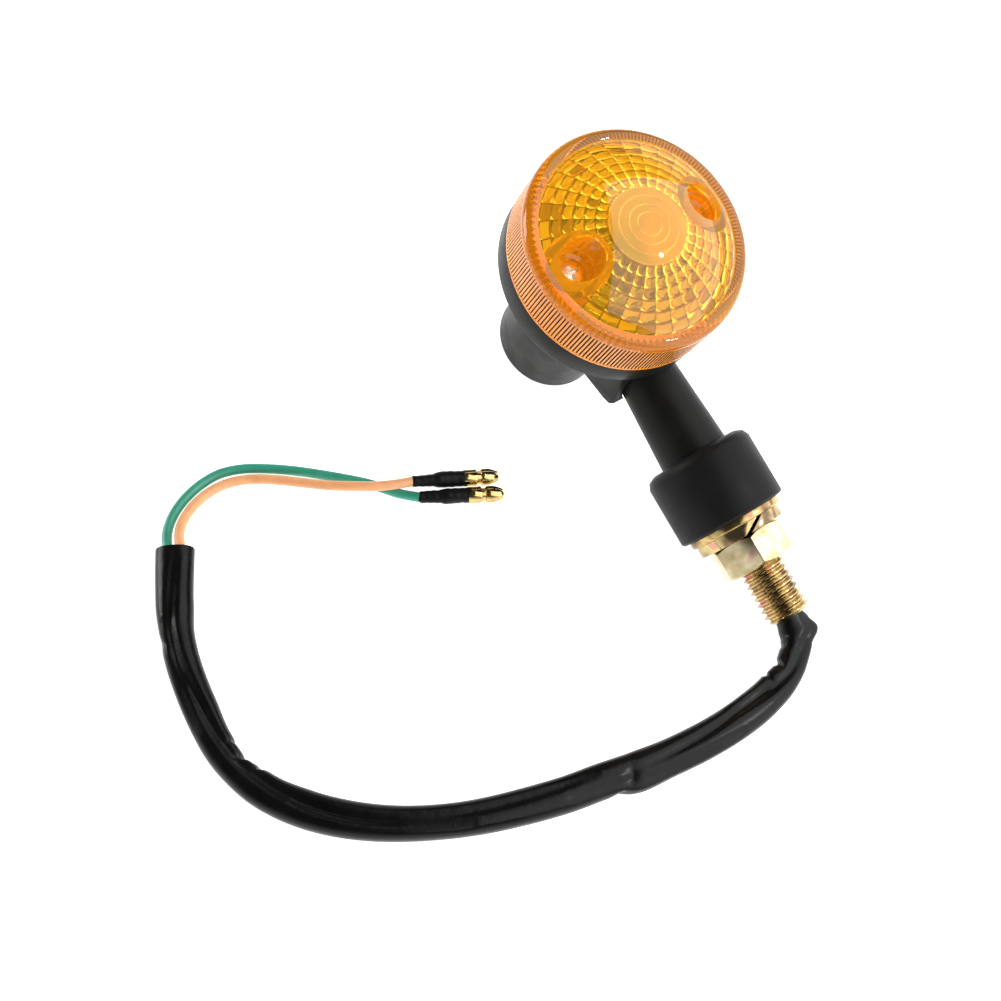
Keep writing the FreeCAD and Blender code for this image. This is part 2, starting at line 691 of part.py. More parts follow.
def rigid_pieces():
    pieces = {
        "lens": make_lens(),
        "lens_seal": make_seal(),
        "reflector": make_reflector(),
        "housing": make_housing(),
        "lens_screws": make_lens_screws(),
        "bulb_glass": make_bulb_glass(),
        "bulb_base": make_bulb_base(),
        "bayonet_pins": make_bayonet_pins(),
        "bulb_filament": make_bulb_filament(),
        "bulb_insulator": make_bulb_insulator(),
        "bulb_contact": make_bulb_contact(),
        "socket_shell": make_socket_shell(),
        "contact_plunger": make_plunger(),
        "plunger_rivet": make_plunger_rivet(),
        "contact_spring": make_contact_spring(),
        "socket_base": make_socket_base(),
        "stem": make_stem(),
        "stem_screw": make_stem_screw(),
        "mounting_collar": make_collar(),
        "stud": make_stud(),
        "flat_washer": make_flat_washer(),
        "spring_washer": make_spring_washer(),
        "hex_nut": make_nut(),
    }
    pieces.update(make_inner_leads())
    return pieces


def lay_down(pieces):
    """Turns the pieces by the rest tilt and centres their box over the origin, bottom at zero."""
    tilt = math.degrees(rest_tilt())
    for shape in pieces.values():
        shape.rotate(V(), V(0, 1, 0), tilt)
    extent = Part.makeCompound(list(pieces.values())).optimalBoundingBox(False, False)
    shift = V(-extent.Center.x, -extent.Center.y, -extent.ZMin)
    for shape in pieces.values():
        shape.translate(shift)
    return FreeCAD.Placement(shift, FreeCAD.Rotation(V(0, 1, 0), tilt))


def loose_leads(placement):
    """The sleeve and the two wires beyond it, with their terminals."""
    along_stud = [STUD_END - SLEEVE_INSIDE, STUD_END + SLEEVE_STRAIGHT]
    way_out = [tuple(placement.multVec(V(x, 0, STEM_Z))) for x in along_stud]
    sleeve_points = way_out + SLEEVE_ROUTE
    pieces = {
        "cable_sleeve": cord("cable_sleeve", sleeve_points, SLEEVE_R),
        "green_wire": cord("green_wire", GREEN_ROUTE, WIRE_R),
        "orange_wire": cord("orange_wire", ORANGE_ROUTE, WIRE_R),
    }
    for colour, route, tip in (("green", GREEN_ROUTE, GREEN_TERMINAL),
                               ("orange", ORANGE_ROUTE, ORANGE_TERMINAL)):
        shrink, bullet = terminal(route[-1], tip)
        pieces[f"{colour}_heat_shrink"] = shrink
        pieces[f"{colour}_bullet"] = bullet
    return pieces


def main():
    pieces = rigid_pieces()
    placement = lay_down(pieces)
    pieces.update(loose_leads(placement))
    for name, shape in pieces.items():
        state = "valid" if shape.isValid() else "NOT VALID"
        print(name, state, len(shape.Solids), f"{shape.Volume:.1f}")
        shape.exportStep(f"parts/{name}.step")
    landmarks = {
        "stud end": (STUD_END, 0, STEM_Z),
        "collar face": (COLLAR_END, 0, STEM_Z),
        "nut": (nut_start(), 0, STEM_Z),
        "bulb axis": (0, 0, 0),
        "lens middle": (0, 0, LENS_TOP),
    }
    print("tilt", round(math.degrees(rest_tilt()), 3))
    for name, point in landmarks.items():
        print(name, tuple(round(c, 3) for c in placement.multVec(V(*point))))


main()
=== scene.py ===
import json
import math
import random

import bmesh
import bpy
from mathutils import Matrix, Vector

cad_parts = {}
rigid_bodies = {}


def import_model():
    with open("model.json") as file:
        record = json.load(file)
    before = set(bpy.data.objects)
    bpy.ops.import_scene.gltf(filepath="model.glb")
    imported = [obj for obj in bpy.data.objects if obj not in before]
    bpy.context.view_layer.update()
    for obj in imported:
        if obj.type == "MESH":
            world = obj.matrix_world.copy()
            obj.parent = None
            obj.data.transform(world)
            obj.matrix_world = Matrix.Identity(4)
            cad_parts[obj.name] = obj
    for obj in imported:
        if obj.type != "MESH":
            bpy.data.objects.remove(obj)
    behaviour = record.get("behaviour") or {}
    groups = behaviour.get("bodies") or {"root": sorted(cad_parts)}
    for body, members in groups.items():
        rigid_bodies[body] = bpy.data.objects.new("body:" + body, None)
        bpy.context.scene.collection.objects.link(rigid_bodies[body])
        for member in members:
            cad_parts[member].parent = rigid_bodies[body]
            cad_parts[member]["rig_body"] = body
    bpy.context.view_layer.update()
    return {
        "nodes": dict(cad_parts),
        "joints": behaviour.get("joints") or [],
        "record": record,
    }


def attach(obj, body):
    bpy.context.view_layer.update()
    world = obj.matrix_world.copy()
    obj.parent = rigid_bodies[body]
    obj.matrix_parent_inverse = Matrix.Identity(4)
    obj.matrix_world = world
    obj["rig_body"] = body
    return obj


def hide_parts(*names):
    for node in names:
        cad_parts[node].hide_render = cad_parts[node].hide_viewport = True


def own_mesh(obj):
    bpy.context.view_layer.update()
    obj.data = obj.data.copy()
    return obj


# A small motorcycle turn signal with an amber lens, lying on a white table with its lead in a loop.
# Rigid pieces are modelled in millimetres in the head frame: origin on the bulb axis at the rear edge
# of the housing's band, +Z out through the lens, +X along the stem.  HEAD turns that into the row frame.

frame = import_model()
NODES = frame["nodes"]
JOINTS = {joint["name"]: joint for joint in frame["joints"]}

MM = 0.001
STEM_Z = -8.0            # stem axis, below the band's rear edge
BULB_PIN_Z = -17.0       # height of the bulb_turn joint's point on the bulb axis

bulb_axis = Vector(JOINTS["bulb_turn"]["axis"]).normalized()
stem_axis = Vector(JOINTS["nut_travel"]["axis"]).normalized()
head_origin = Vector(JOINTS["bulb_turn"]["pos_m"]) - bulb_axis * BULB_PIN_Z * MM
HEAD = Matrix((stem_axis, bulb_axis.cross(stem_axis), bulb_axis)).transposed().to_4x4()
HEAD = Matrix.Translation(head_origin) @ HEAD @ Matrix.Scale(MM, 4)

# ---- Lens sizes, in millimetres --------------------------------------------------------------------
SEGMENTS = 1600          # around the lens: 8 to a rib, 50 to a prism sector, 16 to a tooth
RIBS = 200
RIB_DEPTH = 0.34
SECTORS = 32
TEETH = 100
TOOTH_DEPTH = 0.55
BASE_Z = 6.0
BEAD_TOP = 7.1           # smooth bead below the ribs
RIB_TOP = 15.9
RIB_ROWS = 8
RIB_FADE = 0.3           # how far a rib takes to reach its full height
RIM_TOP = 18.0
DOME = 6.6               # rise of the domed face
FACE_R = 21.4            # edge of the dome
BASE_R = 24.6
RIM_R = 24.4
EDGE = 2.0               # rounding of the rim
EDGE_STEPS = 8
DOME_STEPS = 20
LIP = 0.15               # flat strip between the rim and the dome
LIP_DROP = 0.02
FACE_DROP = 0.12         # how far the dome's edge lies below the rim
INNER_BASE_R = 22.4
INNER_WALL_R = 22.2
INNER_TOP = 15.8
INNER_FACE_R = 20.6
INNER_STEP = 0.35        # step down from the prisms to the plain strip round them
INNER_STRIP = 0.5
WALL_DROP = 0.3
RINGS = 6                # rings of prisms inside the dome
PRISM_STEPS = 8          # rows of points across a prism
PRISM_MARGIN = 0.2       # plain strip on both sides of the rings of prisms
PILLOW = 0.40            # how far a prism bulges, each way
SHADE_GAP_COLUMNS = (0, 1, 2, -2, -1)     # columns of faces at a prism's sides that get painted shade
BULLSEYE_R = 8.1
CENTRE_LINES = (2.5, 4.2, 6.2, 8.1)
CENTRE_START = 0.5
LINE_DEPTH = 0.16
LINE_WIDTH = 0.12        # from the bottom of a centre line to its edge
LINE_GAP = 0.3
SHADE_ANGLE = -52        # degrees round the lens to the prisms most often painted dark as shade
SHADE_SPREAD = 24
PAINTED_DARK_ANYWHERE = 0.10     # chance that a prism is painted dark
PAINTED_DARK_IN_SHADE = 0.62     # what the shaded side adds to it
PAINTED_DARK_SEED = 7
SCREW_OFFSET = 15.5
WELL_R = 4.5
WELL_BOSS_R = 6.4
BOSS_EDGE = 0.4
BOSS_DEPTH = 0.4         # how far the boss ends below the dome
WELL_FLOOR = 12.0
SEAT_R = 3.35            # recess that the screw's head sits in
SEAT_TOP = 13.4
POST_TOP = 3.0
SCREW_R = 1.5
OVERLAP = 1              # how far a cutter reaches past what it cuts
# The smooth bead at the lens's foot: (how far inside BASE_R, height).
BEAD_OUTLINE = [
    (0.45, BASE_Z),
    (0.1, BASE_Z + 0.12),
    (0, BASE_Z + 0.4),
    (0, BEAD_TOP - 0.4),
    (0.12, BEAD_TOP - 0.1),
]
# A screw well from its floor to above the lens: (radius, height).
WELL_OUTLINE = [
    (SEAT_R, WELL_FLOOR),
    (SEAT_R, SEAT_TOP),
    (WELL_R - 0.35, SEAT_TOP + 0.3),
    (WELL_R - 0.35, SEAT_TOP + 2.2),
    (WELL_R, SEAT_TOP + 2.5),
    (WELL_R, RIM_TOP + DOME),
]

# ---- Other sizes, in millimetres -------------------------------------------------------------------
REFLECTOR_R = 21.6
REFLECTOR_HOLE_R = 10.2
REFLECTOR_BOTTOM = -2.0
REFLECTOR_TOP = 4.6
REFLECTOR_WALL = 0.8
REFLECTOR_ROWS = 7
REFLECTOR_COLUMNS = 320
REFLECTOR_CURVE = 1.4    # power of the bowl's curve: 1 is a cone, 2 a parabola
FLUTES = 40
FLUTE_DEPTH = 0.35
NOTCH_GAP = 0.4          # room between the reflector and the screw bosses
NOTCH_BELOW = 2
NOTCH_ABOVE = 3

STUD_START = 48.0
STUD_END = 83.4
STUD_BORE_R = 3.3
THREAD_R = 5.0
THREAD_ROOT_R = 4.14
THREAD_PITCH = 1.5
THREAD_SEGMENTS = 96
THREAD_LOW_R = 4.04      # where the thread starts to rise at the stud's ends
THREAD_RISE = 0.8        # how much it rises over THREAD_RUN
THREAD_RUN = 0.6
BORE_EDGE = 0.2

# ---- Cords, in metres ------------------------------------------------------------------------------
SLEEVE_ROUTE = [
    (0.046281, 0.0, 0.005735),
    (0.052749, 0.0, 0.003330),
    (0.0578, -0.0060, 0.00325),
    (0.0606, -0.0130, 0.00325),
    (0.0617, -0.0216, 0.00325),
    (0.0616, -0.0320, 0.00325),
    (0.0599, -0.0446, 0.00325),
    (0.0569, -0.0578, 0.00325),
    (0.0532, -0.0710, 0.00325),
    (0.0478, -0.0850, 0.00325),
    (0.0390, -0.0996, 0.00325),
    (0.0274, -0.1106, 0.00325),
    (0.0144, -0.1159, 0.00325),
    (0.0006, -0.1153, 0.00325),
    (-0.0126, -0.1129, 0.00325),
    (-0.0236, -0.1083, 0.00325),
    (-0.0338, -0.1028, 0.00325),
]
# The sleeve's section in millimetres along it: (distance, half width, half height, shift outwards).
SLEEVE_SHAPE = [
    (0, 2.9, 2.9, 0),
    (3.3, 2.95, 2.95, 0),
    (4.8, 3.5, 2.9, 0.3),
    (6.8, 4.3, 2.8, 0.9),
    (9.5, 3.3, 2.7, 0.2),
    (13, 3.2, 2.5, 0.2),
    (17, 3.2, 2.5, 0.3),
    (22, 3.6, 2.7, 0),
    (30, 3.8, 2.8, 0),
    (50, 3.8, 2.8, 0),
    (58, 4.1, 2.8, 0.1),
    (65, 3.6, 2.8, -0.5),
    (74, 3.6, 2.8, -0.2),
    (100, 3.35, 2.8, 0),
    (125, 3.7, 2.8, 0),
    (134, 3.5, 2.7, 0.2),
    (141, 3.0, 2.7, 0.5),
    (148, 3.3, 2.7, 0.2),
    (156, 3.5, 2.8, 0),
    (172, 3.5, 2.8, 0),
    (180, 3.9, 2.8, 0),
    (194, 4.1, 2.7, -0.1),
]
# Folds along the sleeve: (from, to, angle at the start, angle at the end, depth, spread in degrees).
# Angles go from the outside of the loop at 0 over the top at 90 to the inside at 180.
LONG_FOLDS = [
    (4, 36, 55, 120, 0.65, 34),
    (14, 62, 128, 78, 0.45, 26),
    (34, 74, 40, 62, 0.50, 30),
    (66, 128, 110, 84, 0.45, 28),
    (92, 146, 60, 118, 0.60, 30),
    (138, 176, 118, 62, 0.65, 30),
    (150, 192, 44, 96, 0.40, 26),
]
# Buckles across it: (distance, angle, depth, half length, spread in degrees).
BUCKLES = [
    (11.5, 178, 0.5, 1.5, 60),
    (16.5, 172, 1.1, 1.6, 75),
    (21.0, 165, 0.7, 1.4, 70),
    (63.0, -12, 0.7, 2.6, 60),
    (60.0, 70, 0.5, 3.2, 50),
    (136.5, 176, 0.8, 1.4, 70),
    (141.0, 166, 1.2, 1.5, 80),
    (145.0, 172, 0.8, 1.2, 60),
    (171.0, 20, 0.4, 3.0, 60),
]
WIRE_D = 0.0022
GREEN_ROUTE = [
    (-0.0344, -0.1040, 0.0021),
    (-0.0384, -0.1030, 0.0013),
    (-0.0431, -0.0990, 0.00115),
    (-0.0464, -0.0931, 0.00115),
    (-0.0477, -0.0863, 0.00115),
    (-0.0467, -0.0817, 0.00115),
    (-0.0446, -0.0775, 0.00115),
    (-0.0400, -0.0710, 0.00115),
    (-0.0342, -0.0645, 0.00115),
    (-0.0282, -0.0583, 0.00115),
    (-0.0245, -0.0556, 0.00115),
    (-0.0218, -0.0538, 0.0014),
    (-0.0185, -0.0507, 0.002),
]
ORANGE_ROUTE = [
    (-0.0332, -0.1017, 0.0036),
    (-0.0375, -0.1002, 0.0026),
    (-0.0410, -0.0971, 0.0016),
    (-0.0436, -0.0926, 0.0012),
    (-0.0446, -0.0875, 0.00115),
    (-0.0440, -0.0831, 0.00115),
    (-0.0423, -0.0793, 0.00115),
    (-0.0398, -0.0759, 0.0015),
    (-0.0354, -0.0715, 0.0026),
    (-0.0305, -0.0672, 0.0043),
    (-0.0274, -0.0629, 0.0047),
    (-0.0237, -0.0567, 0.0044),
    (-0.0222, -0.0504, 0.0034),
]
GREEN_TIP = (-0.0095, -0.0342, 0.0020)
ORANGE_TIP = (-0.0140, -0.0326, 0.0020)
BULLET_LENGTH = 0.008
SHRINK_OVERLAP = 0.0008
SEAM_ANGLE = 60          # degrees round a bullet to the seam of its rolled sheet
SEAM_SPREAD = 22
# Along the heat-shrink: (share of its length, radius).
SHRINK_SHAPE = [(0, 1.24), (0.06, 1.30), (0.35, 1.45), (0.52, 1.85), (0.66, 1.80), (0.85, 1.70), (1.0, 1.78)]
# Along a bullet from the crimp to its hollow nose: (distance, radius, depth of the seam).
BULLET_OUTLINE = [
    (0.0, 1.50, 0.1),
    (0.1, 1.72, 0.2),
    (0.7, 1.84, 0.4),
    (2.7, 1.92, 0.5),
    (3.0, 1.80, 0.5),
    (3.15, 1.45, 0.2),
    (3.9, 1.45, 0.2),
    (4.1, 1.80, 0.4),
    (4.6, 1.93, 0.5),
    (5.9, 1.88, 0.5),
    (7.0, 1.55, 0.4),
    (7.8, 1.22, 0.2),
    (8.0, 1.08, 0.1),
    (7.9, 0.84, 0),
    (6.2, 0.74, 0),
]

# ---- CAD parts that get rounded edges ---------------------------------------------------------------
# (node, width of the rounding in metres, finish)
ROUNDED = (
    ("hex_nut", 0.00035, "zinc_plated"),
    ("flat_washer", 0.00045, "washer_zinc_painted_shade"),
    ("spring_washer", 0.00045, "lock_zinc_painted_shade"),
    ("mounting_collar", 0.00025, "collar_rubber"),
    ("lens_screws", 0.00015, "screw_steel"),
    ("housing", 0.00025, "black_plastic"),
)

# ---- Contact spring and live lead, in millimetres ---------------------------------------------------
SPRING_BOTTOM = -33.28
SPRING_TOP = -26.62
SPRING_R = 5.2
SPRING_WIRE_R = 0.4
SPRING_TURNS = 4
SPRING_STEPS = 48        # points to a turn
SPRING_CLOSED = 0.12     # share of the wire that lies flat at each end
RIVET_END = -27.5
LEAD_FLOOR = -35.9
LEAD_X = 9.6
LEAD_Y = 1.25
LEADS_END = 79.9


# ---- Node helpers ----------------------------------------------------------------------------------
class Shader:
    """A material's node tree, with its Principled shader."""

    def __init__(self, name, **inputs):
        self.material = bpy.data.materials.new(name)
        self.material.use_nodes = True
        self.tree = self.material.node_tree
        self.surface = self.tree.nodes["Principled BSDF"]
        for key, value in inputs.items():
            self.surface.inputs[key.replace("_", " ")].default_value = value
        self.place = self.add("ShaderNodeTexCoord").outputs["Object"]

    def add(self, kind, **settings):
        node = self.tree.nodes.new(kind)
        for key, value in settings.items():
            setattr(node, key, value)
        return node

    def link(self, output, target):
        self.tree.links.new(output, target)

    def noise(self, scale, detail=3.0):
        node = self.add("ShaderNodeTexNoise")
        node.inputs["Scale"].default_value = scale
        node.inputs["Detail"].default_value = detail
        self.link(self.place, node.inputs["Vector"])
        return node.outputs["Fac"]

    def ramp(self, value, stops):
        node = self.add("ShaderNodeValToRGB")
        elements = node.color_ramp.elements
        while len(elements) < len(stops):
            elements.new(0.5)
        for element, (position, colour) in zip(elements, stops):
            element.position = position
            element.color = (*colour, 1)
        self.link(value, node.inputs["Fac"])
        return node.outputs["Color"]

    def range(self, value, low, high):
        """Spreads a noise value, which mostly lies between 0.3 and 0.7, over low to high."""
        node = self.add("ShaderNodeMapRange")
        node.inputs["From Min"].default_value = 0.3
        node.inputs["From Max"].default_value = 0.7
        node.inputs["To Min"].default_value = low
        node.inputs["To Max"].default_value = high
        self.link(value, node.inputs["Value"])
        return node.outputs["Result"]

    def bump(self, value, strength, distance):
        node = self.add("ShaderNodeBump")
        node.inputs["Strength"].default_value = strength
        node.inputs["Distance"].default_value = distance
        self.link(value, node.inputs["Height"])
        self.link(node.outputs["Normal"], self.surface.inputs["Normal"])

    def colour(self, output):
        self.link(output, self.surface.inputs["Base Color"])

    def roughness(self, output):
        self.link(output, self.surface.inputs["Roughness"])


# ---- Materials -------------------------------------------------------------------------------------
def moulded_black(name, base, roughness, grain):
    """Satin moulded plastic or rubber: fine grain, and a sheen that varies a little."""
    s = Shader(name)
    s.surface.inputs["Specular IOR Level"].default_value = 0.12
    lighter = tuple(c * 1.5 for c in base)
    s.colour(s.ramp(s.noise(60), [(0.3, base), (0.75, lighter)]))
    s.roughness(s.range(s.noise(240), roughness - 0.05, roughness + 0.06))
    s.bump(s.noise(9000, 2), 0.12, grain)
    return s.material


def amber(name, pale, deep, clear, painted_glow, roughness=0.012, shine=0.5):
    """Amber plastic: clear is the share of light let through; painted_glow is a painted glow, emission that
    stands for light scattered inside.
    """
    s = Shader(name, IOR=1.49, Roughness=roughness)
    s.surface.inputs["Specular IOR Level"].default_value = shine
    s.surface.inputs["Transmission Weight"].default_value = clear
    # Painted glow: the lens lets out light of its own though it is no lamp.
    s.surface.inputs["Emission Color"].default_value = (*deep, 1)
    s.surface.inputs["Emission Strength"].default_value = painted_glow
    s.colour(s.ramp(s.noise(40), [(0.3, pale), (0.7, deep)]))
    return s.material


def bright_metal(name, first, second, roughness, scale=300):
    """Plated or plain metal that varies between two tones."""
    s = Shader(name, Metallic=1.0)
    s.colour(s.ramp(s.noise(scale), [(0.3, first), (0.7, second)]))
    s.roughness(s.range(s.noise(2 * scale), 0.75 * roughness, 1.35 * roughness))
    s.bump(s.noise(8 * scale), 0.15, 0.00002)
    return s.material


def yellow_zinc(name, depth):
    """Yellow chromate over zinc: gold with green and rose patches, deeper where depth is higher."""
    s = Shader(name, Metallic=1.0)
    s.colour(s.ramp(s.noise(220, 2), [
        (0.28, (0.50 - depth, 0.46 - depth, 0.24 - 0.5 * depth)),
        (0.42, (0.72 - depth, 0.60 - depth, 0.34 - 0.6 * depth)),
        (0.55, (0.88 - depth, 0.78 - depth, 0.54 - depth)),
        (0.66, (0.86 - depth, 0.60 - depth, 0.46 - 0.8 * depth)),
        (0.78, (0.70 - depth, 0.66 - depth, 0.48 - depth)),
    ]))
    s.roughness(s.range(s.noise(500), 0.12, 0.22))
    s.bump(s.noise(2500), 0.15, 0.00003)
    return s.material


def clear_glass():
    s = Shader("lamp_glass", IOR=1.5, Roughness=0.0)
    s.surface.inputs["Transmission Weight"].default_value = 1.0
    s.colour(s.ramp(s.noise(60), [(0.3, (0.97, 0.98, 0.98)), (0.7, (1.0, 1.0, 1.0))]))
    return s.material


def soft_vinyl(name, base):
    """Coloured wire insulation: light soaks a little way into it."""
    s = Shader(name, Roughness=0.35)
    s.surface.inputs["Subsurface Weight"].default_value = 0.12
    s.surface.inputs["Subsurface Scale"].default_value = 0.0006
    darker = tuple(c * 0.86 for c in base)
    s.colour(s.ramp(s.noise(350), [(0.3, darker), (0.65, base)]))
    s.bump(s.noise(1400), 0.12, 0.00006)
    return s.material


def sleeve_vinyl():
    """Glossy thin black vinyl with soft creases."""
    s = Shader("sleeve_vinyl")
    s.surface.inputs["Specular IOR Level"].default_value = 0.2
    s.colour(s.ramp(s.noise(90), [(0.3, (0.002, 0.002, 0.002)), (0.7, (0.004, 0.004, 0.004))]))
    s.roughness(s.range(s.noise(160), 0.20, 0.34))
    s.bump(s.noise(420, 2), 0.35, 0.0002)
    return s.material


def brown_board():
    s = Shader("pressed_board", Roughness=0.7)
    s.colour(s.ramp(s.noise(900), [(0.3, (0.30, 0.17, 0.08)), (0.7, (0.45, 0.28, 0.15))]))
    s.bump(s.noise(3000), 0.3, 0.00005)
    return s.material


def white_table():
    s = Shader("white_table", Roughness=0.9)
    s.surface.inputs["Specular IOR Level"].default_value = 0.0
    s.colour(s.ramp(s.noise(3), [(0.3, (0.90, 0.90, 0.90)), (0.7, (0.92, 0.92, 0.92))]))
    s.surface.inputs["Emission Color"].default_value = (1, 1, 1, 1)
    s.surface.inputs["Emission Strength"].default_value = 0.85
    return s.material


def make_materials():
    return {
        "amber_lens": amber("amber_clear", (1.0, 0.74, 0.07), (1.0, 0.62, 0.03), 1.0, 0.17),
        "amber_thick": amber("amber_thick", (1.0, 0.52, 0.03), (1.0, 0.42, 0.01), 0.80, 0.13, 0.02, 0.3),
        "amber_rim": amber("amber_rim", (1.0, 0.44, 0.02), (1.0, 0.38, 0.01), 0.90, 0.14, 0.01, 0.2),
        "amber_ridge": amber("amber_ridge", (1.0, 0.52, 0.17), (1.0, 0.42, 0.08), 0.55, 0.03, 0.05, 0.3),
        # Near-black amber that lets no light through: painted shade at the foot of each rib.
        "amber_groove_painted_shade": amber("amber_groove_painted_shade", (0.08, 0.022, 0.003), (0.05, 0.015, 0.002),
                              0.0, 0.0, 0.6, 0.05),
        # Dark amber for the gaps round the prisms: painted shade.
        "amber_gap_painted_shade": amber("amber_gap_painted_shade", (0.28, 0.09, 0.006), (0.20, 0.06, 0.004), 0.85, 0.0, 0.04),
        # Darker amber for prisms painted dark: painted shade for the housing's dark inside.
        "amber_painted_dark": amber("amber_painted_dark", (0.56, 0.26, 0.03), (0.40, 0.17, 0.02), 0.95, 0.01, 0.02),
        # Paler peach amber over the bullseye: a painted reflection of the bulb behind it.
        "amber_eye_painted_reflection": amber("amber_eye_painted_reflection", (1.0, 0.72, 0.46), (1.0, 0.66, 0.44), 0.84, 0.11, 0.28),
        "black_plastic": moulded_black("black_plastic", (0.0065, 0.0065, 0.006), 0.40, 0.00003),
        "seal_rubber": moulded_black("seal_rubber", (0.02, 0.02, 0.02), 0.7, 0.00004),
        "bright_reflector": bright_metal("bright_reflector", (0.90, 0.89, 0.86), (0.96, 0.95, 0.93), 0.20),
        "screw_steel": bright_metal("screw_steel", (0.86, 0.85, 0.82), (0.96, 0.95, 0.93), 0.34),
        "lamp_glass": clear_glass(),
        "lamp_cap": bright_metal("lamp_cap", (0.72, 0.62, 0.40), (0.82, 0.74, 0.52), 0.25),
        "lamp_insulator": moulded_black("lamp_insulator", (0.02, 0.015, 0.03), 0.15, 0.00001),
        "solder": bright_metal("solder", (0.50, 0.50, 0.50), (0.65, 0.65, 0.64), 0.35),
        "filament_wire": bright_metal("filament_wire", (0.35, 0.35, 0.36), (0.5, 0.5, 0.5), 0.3),
        "zinc_plated": yellow_zinc("yellow_zinc", 0.10),
        # The washers' zinc is a darker copy of the nut's: painted shade between the washers and under the
        # collar.
        "washer_zinc_painted_shade": yellow_zinc("washer_zinc_painted_shade", 0.40),
        "lock_zinc_painted_shade": yellow_zinc("lock_zinc_painted_shade", 0.34),
        "thread_zinc": yellow_zinc("thread_zinc", 0.34),
        "spring_steel": bright_metal("spring_steel", (0.45, 0.45, 0.44), (0.6, 0.6, 0.58), 0.3),
        "socket_board": brown_board(),
        "collar_rubber": moulded_black("collar_rubber", (0.007, 0.007, 0.007), 0.46, 0.00004),
        "sleeve_vinyl": sleeve_vinyl(),
        "green_vinyl": soft_vinyl("green_vinyl", (0.035, 0.33, 0.22)),
        "orange_vinyl": soft_vinyl("orange_vinyl", (0.90, 0.42, 0.19)),
        "heat_shrink": moulded_black("heat_shrink", (0.006, 0.006, 0.006), 0.36, 0.00008),
        "terminal_brass": bright_metal("terminal_brass", (0.48, 0.35, 0.12), (0.68, 0.53, 0.23), 0.12, 500),
    }


# ---- Mesh helpers ----------------------------------------------------------------------------------
def add_mesh(name, points, faces, matrix=None, smooth_below=35):
    """A mesh object from points; edges that turn by more than smooth_below degrees stay sharp."""
    mesh = bpy.data.meshes.new(name)
    mesh.from_pydata(points, [], faces)
    if matrix:
        mesh.transform(matrix)
    mesh.validate()
    piece = bpy.data.objects.new(name, mesh)
    bpy.context.scene.collection.objects.link(piece)
    shade(mesh, smooth_below)
    return piece


def shade(mesh, smooth_below):
    mesh.shade_smooth()
    mesh.set_sharp_from_angle(angle=math.radians(smooth_below))


def grid_faces(rows, columns, closed_rows):
    """Quads between neighbouring rows of points; the columns always close, the rows if asked."""
    faces = []
    last = rows if closed_rows else rows - 1
    for i in range(last):
        a = i * columns
        b = (i + 1) % rows * columns
        for j in range(columns):
            k = (j + 1) % columns
            faces.append((a + j, a + k, b + k, b + j))
    return faces


def stand_for(piece, node):
    """The piece takes the CAD node's place, body, slot and finish."""
    slot = SLOTS[node]
    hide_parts(node)
    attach(piece, NODES[node]["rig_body"])
    if not piece.data.materials:
        piece.data.materials.append(MATERIALS[slot])


def mesh_of(piece):
    """The piece's mesh as its modifiers or its curve make it."""
    return bpy.data.meshes.new_from_object(piece.evaluated_get(bpy.context.evaluated_depsgraph_get()))


def apply_modifiers(piece):
    result = mesh_of(piece)
    piece.modifiers.clear()
    piece.data = result


def soften(node, width, finish):
    """A copy of a CAD node with its edges rounded over, as moulded and turned parts have them."""
    source = NODES[node]
    piece = bpy.data.objects.new(f"{node}_rounded", source.data.copy())
    bpy.context.scene.collection.objects.link(piece)
    piece.matrix_world = source.matrix_world
    piece.data.materials.clear()
    work = bmesh.new()
    work.from_mesh(piece.data)
    bmesh.ops.remove_doubles(work, verts=work.verts, dist=0.000002)
    bmesh.ops.dissolve_limit(work, angle_limit=math.radians(1), verts=work.verts, edges=work.edges)
    work.to_mesh(piece.data)
    work.free()
    rounding = piece.modifiers.new("rounding", "BEVEL")
    rounding.width = width
    rounding.segments = 3
    rounding.angle_limit = math.radians(40)
    rounding.miter_outer = "MITER_ARC"
    apply_modifiers(piece)
    piece.data.materials.append(MATERIALS[finish])
    shade(piece.data, 30)
    stand_for(piece, node)


# ---- Lens ------------------------------------------------------------------------------------------
AMBERS = ("amber_lens", "amber_thick", "amber_rim", "amber_ridge", "amber_groove_painted_shade", "amber_gap_painted_shade",
          "amber_painted_dark", "amber_eye_painted_reflection")
CLEAR, THICK, RIM, RIDGE, GROOVE_SHADE, GAP_SHADE, PAINTED_DARK, EYE_REFLECTION = range(len(AMBERS))


def amber_slots(piece, index):
    """Gives a piece of the lens all the amber finishes, and uses one of them all over."""
    for name in AMBERS:
        piece.data.materials.append(MATERIALS[name])
    for face in piece.data.polygons:
        face.material_index = index


def rib_height(angle, z):
    """Rounded ribs on the lens side, fading out at both ends."""
    phase = angle / math.tau * RIBS % 1.0
    ridge = math.sqrt(max(0.0, 1 - (2 * phase - 1) ** 2))
    ends = min(1.0, (z - BEAD_TOP) / RIB_FADE, (RIB_TOP - z) / RIB_FADE)
    return RIB_DEPTH * (ridge - 1) * max(0.0, ends)


def dome_height(r, edge_z, edge_r):
    """Height of a dome at radius r, from the height and radius of its edge."""
    return edge_z + DOME * (1 - (r / edge_r) ** 2)


